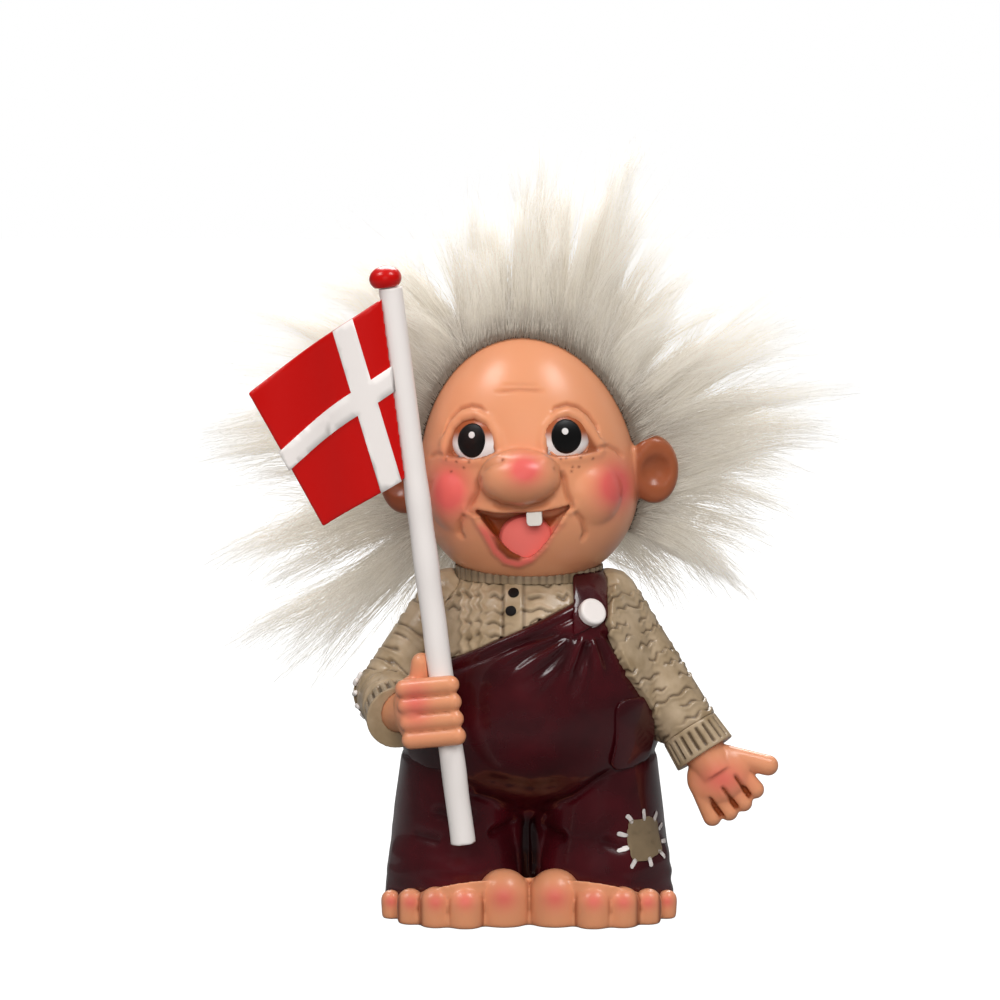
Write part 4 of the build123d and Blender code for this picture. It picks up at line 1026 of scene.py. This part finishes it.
class TROLL_OT_trim(bpy.types.Operator):
    """Finish the patches, stitches and buttons"""
    bl_idname = "troll.trim"
    bl_label = "Patches, stitches and buttons"

    def execute(self, context):
        """Soften each small casting and paint it."""
        for node, cell, rounds, slot, finish in TRIM:
            piece = casting(node + "_casting", [node], cell * MM, rounds)
            if node.startswith("knee"):
                self.fit(piece, KNEE_SCALE[node])
            dress(piece, "figure", slot, paint(finish), node)
        return {"FINISHED"}

    def fit(self, piece, shares):
        """Spread a knee piece about the patch's middle, roughen its edge and lay it on the cloth."""
        clay = Clay(piece)
        hub = middle("knee_patch") + np.array(KNEE_SHIFT)
        for axis in (0, 2):
            clay.at[:, axis] = hub[axis] + shares[axis] * (clay.at[:, axis] - hub[axis])
            clay.at[:, axis] += KNEE_FRAY * drift(clay.at, span=5.5, seed=axis + 0.7)
        low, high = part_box("knee_patch")
        half = (np.array(high) - np.array(low)) / 2 / MM * np.array(KNEE_SCALE["knee_patch"])
        arm = (np.abs(clay.at - hub) / half)[:, (0, 2)]
        round_arm = (arm ** KNEE_ROUNDING).sum(axis=1) ** (1 / KNEE_ROUNDING)
        draw_in = arm.max(axis=1) / np.maximum(round_arm, TINY)
        for axis in (0, 2):
            clay.at[:, axis] = hub[axis] + draw_in * (clay.at[:, axis] - hub[axis])
        clay.settle()
        modify(piece, "SHRINKWRAP", target=bpy.data.objects["dungarees_casting"],
               wrap_method="NEAREST_SURFACEPOINT", wrap_mode="OUTSIDE_SURFACE", offset=KNEE_LIFT)


POLE_WANDER = 0.16
POLE_SLACK = 0.2
POLE_HELD = (47.0, 39.0)  # distances from its top between which the pole goes under the flag


class TROLL_OT_staff(bpy.types.Operator):
    """Form the pole and its red knob"""
    bl_idname = "troll.staff"
    bl_label = "Flag pole"

    def execute(self, context):
        """Give the pole the slight wander of a hand-rolled rod."""
        pole = casting("pole_casting", ["flag_pole"], cell=0.3 * MM, rounds=5)
        clay = Clay(pole)
        # Under the flag it is a touch slimmer and runs true, so the flag turns freely.
        below_top = clay.at[:, 2].max() - clay.at[:, 2]
        held = ease(*POLE_HELD, below_top)
        clay.push(POLE_WANDER * drift(clay.at, span=16, seed=0.3) * (1 - held) - POLE_SLACK * held)
        dress(pole, "staff", "white_paint", paint("white"), "flag_pole")
        knob = casting("knob_casting", ["pole_finial"], cell=0.2 * MM, rounds=5)
        dress(knob, "staff", "flag_red", paint("red"), "pole_finial")
        return {"FINISHED"}


FLAG_DROOP = 1.8
CROSS_DROOP = 3.4
BAR_EDGE = 11.5
FIELD_HOLLOW = (0.03, 0.2)  # depths between which a hollow fills with painted shade
DROOP_PAST = 6.0  # the fall would be whole this far past the flag's free end


class TROLL_OT_flag(bpy.types.Operator):
    """Form the waving flag and its raised cross"""
    bl_idname = "troll.flag"
    bl_label = "Flag"

    def execute(self, context):
        """Soften the field, let it and the cross hang, and shade the field's hollows."""
        field = casting("flag_field_casting", ["flag_field"], cell=0.34 * MM, rounds=9)
        clay = self.droop(field, FLAG_DROOP)
        hollow = valley(field, clay, rounds=8)
        clay.paint("wash_and_shade", 0.5 * ease(*FIELD_HOLLOW, hollow))
        dress(field, "flag", "flag_red", paint("red"), "flag_field")
        cross = copied("flag_cross_casting", ["flag_cross"])
        self.droop(cross, CROSS_DROOP)
        dress(cross, "flag", "white_paint", paint("white"), "flag_cross")
        return {"FINISHED"}

    def droop(self, piece, fall):
        """Let the flag's free end hang a little, along the pole."""
        clay = Clay(piece)
        foot, top = middle("flag_pole"), middle("pole_finial")
        way = unit(top - foot)
        out = np.linalg.norm(np.cross(clay.at - foot, way), axis=1)
        clay.at -= way * (fall * ease(BAR_EDGE, out.max() + DROOP_PAST, out))[:, None]
        clay.settle()
        return clay


# Fur

FUR_SEED = 20
FUR_RINGS = 7
FUR_SPREAD = math.radians(8.5)
FUR_PAST = 9.0  # how far a wisp may reach past the solid model's box
FUR_LOCKS = 14
FUR_HUB = (0.0, 0.0, 94.0)  # the middle of the head, from which the roots are seen
UNDERCOAT_SHARE, STRAY_SHARE = 0.42, 0.05
FAR_CUT, FAR_BAND = 0.30, (math.radians(11), math.radians(26))
LENGTH_SPREAD = 0.24
TIP_JITTER, BEND_JITTER, LOCK_JITTER = 0.14, 0.04, 1.0
LOCK_STOP = 0.58  # the least share of its lead strand at which a strand ends
CROWN_PULL = 0.18
STRAY_GATHER, LEAST_GATHER, GATHER_SPREAD, BEND_GATHER = 0.1, 0.52, 0.43, 0.6
UNDERCOAT_CUT, UNDERCOAT_SPREAD, UNDERCOAT_SWAY, UNDERCOAT_TONE = 0.24, 0.2, 0.4, 0.2
ROOT_LIFT, ROOT_SINK, EDGE_LIFT = 1.6, 0.5, 0.7
FACE_CLEARANCE = 1.5
LOCK_SWAY, STRAND_SWAY, SWAY_WAVES = 0.055, 0.012, 1.6
TRIM_LEAST = 0.86
TONE, TONE_SPREAD, TONE_MOST = 0.08, 0.14, 0.6
STRAND_TAPER, TAPER_POWER = 0.82, 1.5
ROOT_PERCENT, TIP_BAND, HALF_BAND = 10, 0.8, 0.06  # what counts as a solid tuft's root, tip and middle
RIM_FACING, RIM_WEIGHT = 0.5, 4.0  # what counts as the backing's rim, and how much denser its fur is


def fur_mesh(name, paths, gauge, tone):
    """Closed three-sided strands along many paths at once."""
    strands, rings = paths.shape[:2]
    along = np.linspace(0, 1, rings)
    way = np.gradient(paths, axis=1)
    way /= np.linalg.norm(way, axis=2, keepdims=True) + TINY
    side = np.cross(way, np.array((0.31, 0.87, 0.39)))
    side /= np.linalg.norm(side, axis=2, keepdims=True) + TINY
    other = np.cross(way, side)
    radius = gauge * (1 - STRAND_TAPER * along ** TAPER_POWER)
    corners = []
    for turn in (0, 2 * math.pi / 3, 4 * math.pi / 3):
        corners.append(paths + radius[None, :, None] * (math.cos(turn) * side + math.sin(turn) * other))
    points = np.stack(corners, axis=2).reshape(-1, 3) * MM
    base = (np.arange(strands) * rings * 3)[:, None, None, None]
    ring = (np.arange(rings - 1) * 3)[None, :, None, None]
    quad = np.array([[0, 1, 4, 3], [1, 2, 5, 4], [2, 0, 3, 5]])[None, None, :, :]
    quads = (base + ring + quad).reshape(-1, 4)
    ends = np.array([[0, 2, 1], [3 * rings - 3, 3 * rings - 2, 3 * rings - 1]])[None, :, :]
    caps = (base[:, :, :, 0] + ends).reshape(-1, 3)
    mesh = bpy.data.meshes.new(name)
    mesh.vertices.add(len(points))
    mesh.vertices.foreach_set("co", points.astype(np.float32).ravel())
    loops = np.concatenate((quads.ravel(), caps.ravel())).astype(np.int32)
    mesh.loops.add(len(loops))
    mesh.loops.foreach_set("vertex_index", loops)
    starts = np.concatenate((np.arange(len(quads)) * 4, len(quads) * 4 + np.arange(len(caps)) * 3))
    mesh.polygons.add(len(starts))
    mesh.polygons.foreach_set("loop_start", starts.astype(np.int32))
    mesh.update(calc_edges=True)
    mesh.validate()
    for label, values in (("along", np.repeat(np.tile(along, strands), 3)),
                          ("tone", np.repeat(tone, rings * 3))):
        layer = mesh.attributes.new(label, "FLOAT", "POINT")
        layer.data.foreach_set("value", values.astype(np.float32))
    return placed(name, mesh)


def tuft_line(node, centre):
    """A solid tuft's root, the point its curve leans to, and its tip."""
    points = read_points(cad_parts[node].data)
    far = np.linalg.norm(points - centre, axis=1)
    start = points[far < np.percentile(far, ROOT_PERCENT)].mean(axis=0)
    run = np.linalg.norm(points - start, axis=1)
    tip = points[run > run.max() - TIP_BAND].mean(axis=0)
    half = points[np.abs(run / run.max() - 0.5) < HALF_BAND].mean(axis=0)
    return start, 2 * half - (start + tip) / 2, tip


def backing_roots(count, chance, centre):
    """Places on the outside and the front edge of the wig's backing, and the way out from each."""
    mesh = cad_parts["wig_cap"].data
    mesh.calc_loop_triangles()
    triangles = np.empty(len(mesh.loop_triangles) * 3, dtype=np.int32)
    mesh.loop_triangles.foreach_get("vertices", triangles)
    corners = read_points(mesh)[triangles.reshape(-1, 3)]
    cross = np.cross(corners[:, 1] - corners[:, 0], corners[:, 2] - corners[:, 0])
    area = np.linalg.norm(cross, axis=1)
    hub = corners.mean(axis=1) - centre
    facing = np.einsum("ij,ij->i", cross, hub) / (area * np.linalg.norm(hub, axis=1) + TINY)
    rim = (np.abs(facing) <= RIM_FACING) & (cross[:, 1] < 0)
    weight = area * np.where(rim, RIM_WEIGHT, facing > RIM_FACING)
    chosen = chance.choice(len(weight), size=count, p=weight / weight.sum())
    a, b = chance.random(count), chance.random(count)
    over = a + b > 1
    a[over], b[over] = 1 - a[over], 1 - b[over]
    trio = corners[chosen]
    places = trio[:, 0] + a[:, None] * (trio[:, 1] - trio[:, 0]) + b[:, None] * (trio[:, 2] - trio[:, 0])
    return places, cross[chosen] / area[chosen][:, None]


def bow(t, start, bend, end):
    """A point at share t of a curve that leaves its start towards a bend and comes to its end."""
    return (1 - t) ** 2 * start + 2 * t * (1 - t) * bend + t ** 2 * end


class TROLL_OT_fur(bpy.types.Operator):
    """Grow the long fur of the wig"""
    bl_idname = "troll.fur"
    bl_label = "Fur"

    def execute(self, context):
        """Let every strand follow the solid tufts around its root, gathered into locks."""
        sizes = context.scene.troll_sizes
        chance = np.random.default_rng(FUR_SEED)
        centre = np.array(FUR_HUB)
        names = sorted(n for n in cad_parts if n.startswith("hair_"))
        starts, bends, ends = np.transpose([tuft_line(node, centre) for node in names], (1, 0, 2))
        roots, out = backing_roots(sizes.strands, chance, centre)
        count = len(roots)
        rays = unit(roots - centre)
        apart = np.arccos(np.clip(rays @ unit(starts - centre).T, -1, 1))
        share = bell(apart, 0, FUR_SPREAD) + TINY
        owner = share.argmax(axis=1)
        share /= share.sum(axis=1)[:, None]
        # Strands far from a tuft's own root stay shorter, so the locks stand apart.
        near = 1 - FAR_CUT * ease(*FAR_BAND, apart.min(axis=1))
        reach_out = (near * (1.0 + LENGTH_SPREAD * chance.random(count)))[:, None]
        under = chance.random(count) < UNDERCOAT_SHARE
        stray = ~under & (chance.random(count) < STRAY_SHARE)
        to_bend = (share @ (bends - starts)) * reach_out
        to_tip = (share @ (ends - starts)) * reach_out
        span = np.linalg.norm(to_tip, axis=1)[:, None]
        to_tip += chance.normal(0, TIP_JITTER, (count, 3)) * span
        to_bend += chance.normal(0, BEND_JITTER, (count, 3)) * span
        to_tip[stray] += chance.normal(0, TIP_JITTER, (int(stray.sum()), 3)) * span[stray]
        # Locks: every strand leans to the nearest of its tuft's lead strands and ends somewhere along it.
        lead = self.lead_strands(roots, owner, len(names), chance)
        stop = (LOCK_STOP + (1 - LOCK_STOP) * np.sqrt(chance.random(count)))[:, None]
        tip, bend = roots + to_tip, roots + to_bend
        crown = starts[owner] + (ends - starts)[owner] * reach_out
        tip += CROWN_PULL * (crown - tip)
        lead_tip = bow(stop, roots[lead], bend[lead], tip[lead])
        lead_bend = roots[lead] + stop * (bend - roots)[lead]
        gather = np.where(stray, STRAY_GATHER, LEAST_GATHER + GATHER_SPREAD * chance.random(count))[:, None]
        tip = tip + (lead_tip - tip) * gather
        bend = bend + (lead_bend - bend) * gather * BEND_GATHER
        cut = np.where(under, UNDERCOAT_CUT + UNDERCOAT_SPREAD * chance.random(count), 1.0)[:, None]
        bend = np.where(under[:, None], roots + to_bend * cut, bend) + out * ROOT_LIFT
        tip = np.where(under[:, None], roots + to_tip * cut, tip)
        # No strand falls over the face.
        tip[:, 1] = np.maximum(tip[:, 1], roots[:, 1] - FACE_CLEARANCE)
        # Strands of the backing's front edge start a little before it, all others a little inside it.
        edge = (out[:, 1] < -0.6) & (np.abs(np.einsum("ij,ij->i", out, rays)) <= RIM_FACING)
        foot = (roots + out * np.where(edge, EDGE_LIFT, -ROOT_SINK)[:, None])[:, None, :]
        t = np.linspace(0, 1, FUR_RINGS)[None, :, None]
        paths = bow(t, foot, bend[:, None, :], tip[:, None, :])
        sway = chance.normal(0, LOCK_SWAY, (count, 1, 3))[lead] + chance.normal(0, STRAND_SWAY, (count, 1, 3))
        sway[under] *= UNDERCOAT_SWAY
        paths += sway * span[:, None, :] * np.sin(SWAY_WAVES * math.pi * t) * t
        # A strand that would run far past the solid model's box is trimmed back along its own length.
        low, high = (np.array(corner) / MM for corner in CAD_BOUNDS)
        away = paths - foot
        room = np.where(away > 0, high + FUR_PAST - foot, foot - low + FUR_PAST)
        trim = (room / np.maximum(np.abs(away), TINY)).min(axis=(1, 2))
        trim = np.where(trim < 1, trim * (TRIM_LEAST + (1 - TRIM_LEAST) * chance.random(count)), 1.0)
        paths = foot + away * trim[:, None, None]
        tone = np.clip(chance.normal(TONE, TONE_SPREAD, count), 0, TONE_MOST)
        tone[under] += UNDERCOAT_TONE
        for index, node in enumerate(names):
            mine = owner == index
            piece = fur_mesh(node + "_fur", paths[mine], sizes.strand_gauge / MM, tone[mine])
            dress(piece, "figure", "hair", paint("fur"), node)
        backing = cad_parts["wig_cap"].data.materials
        backing.clear()
        backing.append(paint("backing"))
        return {"FINISHED"}

    def lead_strands(self, roots, owner, tufts, chance):
        """For every strand, the strand of its tuft that leads its lock."""
        lead = np.zeros(len(roots), dtype=int)
        for index in range(tufts):
            mine = np.flatnonzero(owner == index)
            heads = chance.choice(mine, size=min(FUR_LOCKS, len(mine)), replace=False)
            gaps = np.linalg.norm(roots[mine][:, None, :] - roots[heads][None, :, :], axis=2)
            gaps += chance.normal(0, LOCK_JITTER, gaps.shape)
            lead[mine] = heads[gaps.argmin(axis=1)]
        return lead


# The studio

STAGE_AIM = (-6.4 * MM, 0.0, 91.3 * MM)
STAGE_SIZE = 4.0
CAMERA_DISTANCE = 1.2
CAMERA_LENS = 196.0
CAMERA_NEAR = 0.05
PURE_WHITE = (1.0, 1.0, 1.0, 1.0)
AIR_STRENGTH = 0.10
SOFTBOXES = (
    # name, place, what it faces, size, power
    ("left_softbox", (-0.52, -0.22, 0.88), STAGE_AIM, 0.30, 2.7),
    ("right_softbox", (0.44, -0.30, 0.93), STAGE_AIM, 0.30, 2.8),
    ("front_softbox", (0.0, -1.35, 0.60), STAGE_AIM, 0.8, 15.5),
    ("hair_softbox", (0.0, 0.50, 0.62), (0.0, 0.0, 0.11), 0.5, 8.0),
)
# The broad front light is cross-polarised, as for glossy goods: it fills, and leaves no mirror image.
POLARISED = "front_softbox"


def softbox(name, place, aim, size, power):
    """A square softbox that faces a point."""
    bpy.ops.object.light_add(type="AREA", location=place)
    lamp = bpy.context.object
    lamp.name = name
    lamp.data.shape = "SQUARE"
    lamp.data.size = size
    lamp.data.energy = power
    lamp.visible_glossy = name != POLARISED
    away = np.array(place) - np.array(aim)
    flat = math.hypot(away[0], away[1])
    lamp.rotation_euler = (math.atan2(flat, away[2]), 0.0, math.atan2(away[0], -away[1]))
    return lamp


def for_camera(tree, others, camera):
    """One shader for the rays of the camera and another for all the rest."""
    ray = add(tree, "ShaderNodeLightPath")
    return add(tree, "ShaderNodeMixShader",
               links={"Fac": ray.outputs["Is Camera Ray"], 1: others.outputs[0], 2: camera.outputs[0]})


class TROLL_OT_stage(bpy.types.Operator):
    """Set the white floor, the softboxes and the portrait camera"""
    bl_idname = "troll.stage"
    bl_label = "Studio"

    def execute(self, context):
        """Lay the paper, hang the lights and aim the camera."""
        deselect()
        bpy.ops.mesh.primitive_plane_add(size=STAGE_SIZE)
        floor = context.object
        floor.name = "studio_floor"
        material, tree = fresh("White paper")
        # Paper lit from behind: even white to the camera, little of it thrown back on the figure.
        paper = add(tree, "ShaderNodeBsdfDiffuse", {"Color": linear("#6e6e6e"), "Roughness": 1.0})
        glow = add(tree, "ShaderNodeEmission", {"Color": PURE_WHITE, "Strength": 1.0})
        lit = add(tree, "ShaderNodeAddShader", links={0: paper.outputs[0], 1: glow.outputs[0]})
        close(tree, for_camera(tree, paper, lit))
        floor.data.materials.append(material)
        lamps = [softbox(*row) for row in SOFTBOXES]
        world = bpy.data.worlds.new("Studio air")
        context.scene.world = world
        world.use_nodes = True
        tree = world.node_tree
        tree.nodes.clear()
        air = add(tree, "ShaderNodeBackground", {"Color": PURE_WHITE, "Strength": AIR_STRENGTH})
        wall = add(tree, "ShaderNodeBackground", {"Color": PURE_WHITE, "Strength": 1.0})
        add(tree, "ShaderNodeOutputWorld", links={"Surface": for_camera(tree, air, wall).outputs[0]})
        back = (STAGE_AIM[0], -CAMERA_DISTANCE * math.cos(VIEW_RISE),
                STAGE_AIM[2] + CAMERA_DISTANCE * math.sin(VIEW_RISE))
        bpy.ops.object.camera_add(location=back, rotation=(math.pi / 2 - VIEW_RISE, 0.0, 0.0))
        camera = context.object
        camera.data.lens = CAMERA_LENS
        camera.data.clip_start = CAMERA_NEAR
        context.scene.camera = camera
        context.scene.view_settings.view_transform = "Standard"
        return {"FINISHED"}


class TROLL_PT_sidebar(bpy.types.Panel):
    """Lists the figure's pieces and settings"""
    bl_label = "Troll figure"
    bl_idname = "TROLL_PT_sidebar"
    bl_space_type = "VIEW_3D"
    bl_region_type = "UI"
    bl_category = "Troll"

    def draw(self, context):
        """Show the settings, then one button for each operator."""
        for group in (context.scene.troll_finish, context.scene.troll_sizes):
            for name in group.__annotations__:
                self.layout.prop(group, name)
        for step in STEPS:
            self.layout.operator(step.bl_idname)


STEPS = (TROLL_OT_head, TROLL_OT_eyes, TROLL_OT_mouth, TROLL_OT_dungarees, TROLL_OT_sweater,
         TROLL_OT_hands_and_feet, TROLL_OT_trim, TROLL_OT_staff, TROLL_OT_flag, TROLL_OT_fur, TROLL_OT_stage)
CLASSES = (TrollFinish, TrollSizes) + STEPS + (TROLL_PT_sidebar,)


def register():
    """Make the settings, operators and panel known."""
    for item in CLASSES:
        bpy.utils.register_class(item)
    bpy.types.Scene.troll_finish = PointerProperty(type=TrollFinish)
    bpy.types.Scene.troll_sizes = PointerProperty(type=TrollSizes)


def unregister():
    """Take them away again."""
    del bpy.types.Scene.troll_sizes
    del bpy.types.Scene.troll_finish
    for item in reversed(CLASSES):
        bpy.utils.unregister_class(item)


def main():
    """Build every piece."""
    register()
    bpy.ops.troll.head()
    bpy.ops.troll.eyes()
    bpy.ops.troll.mouth()
    bpy.ops.troll.dungarees()
    bpy.ops.troll.sweater()
    bpy.ops.troll.hands_and_feet()
    bpy.ops.troll.trim()
    bpy.ops.troll.staff()
    bpy.ops.troll.flag()
    bpy.ops.troll.fur()
    bpy.ops.troll.stage()


if __name__ == "__main__":
    main()
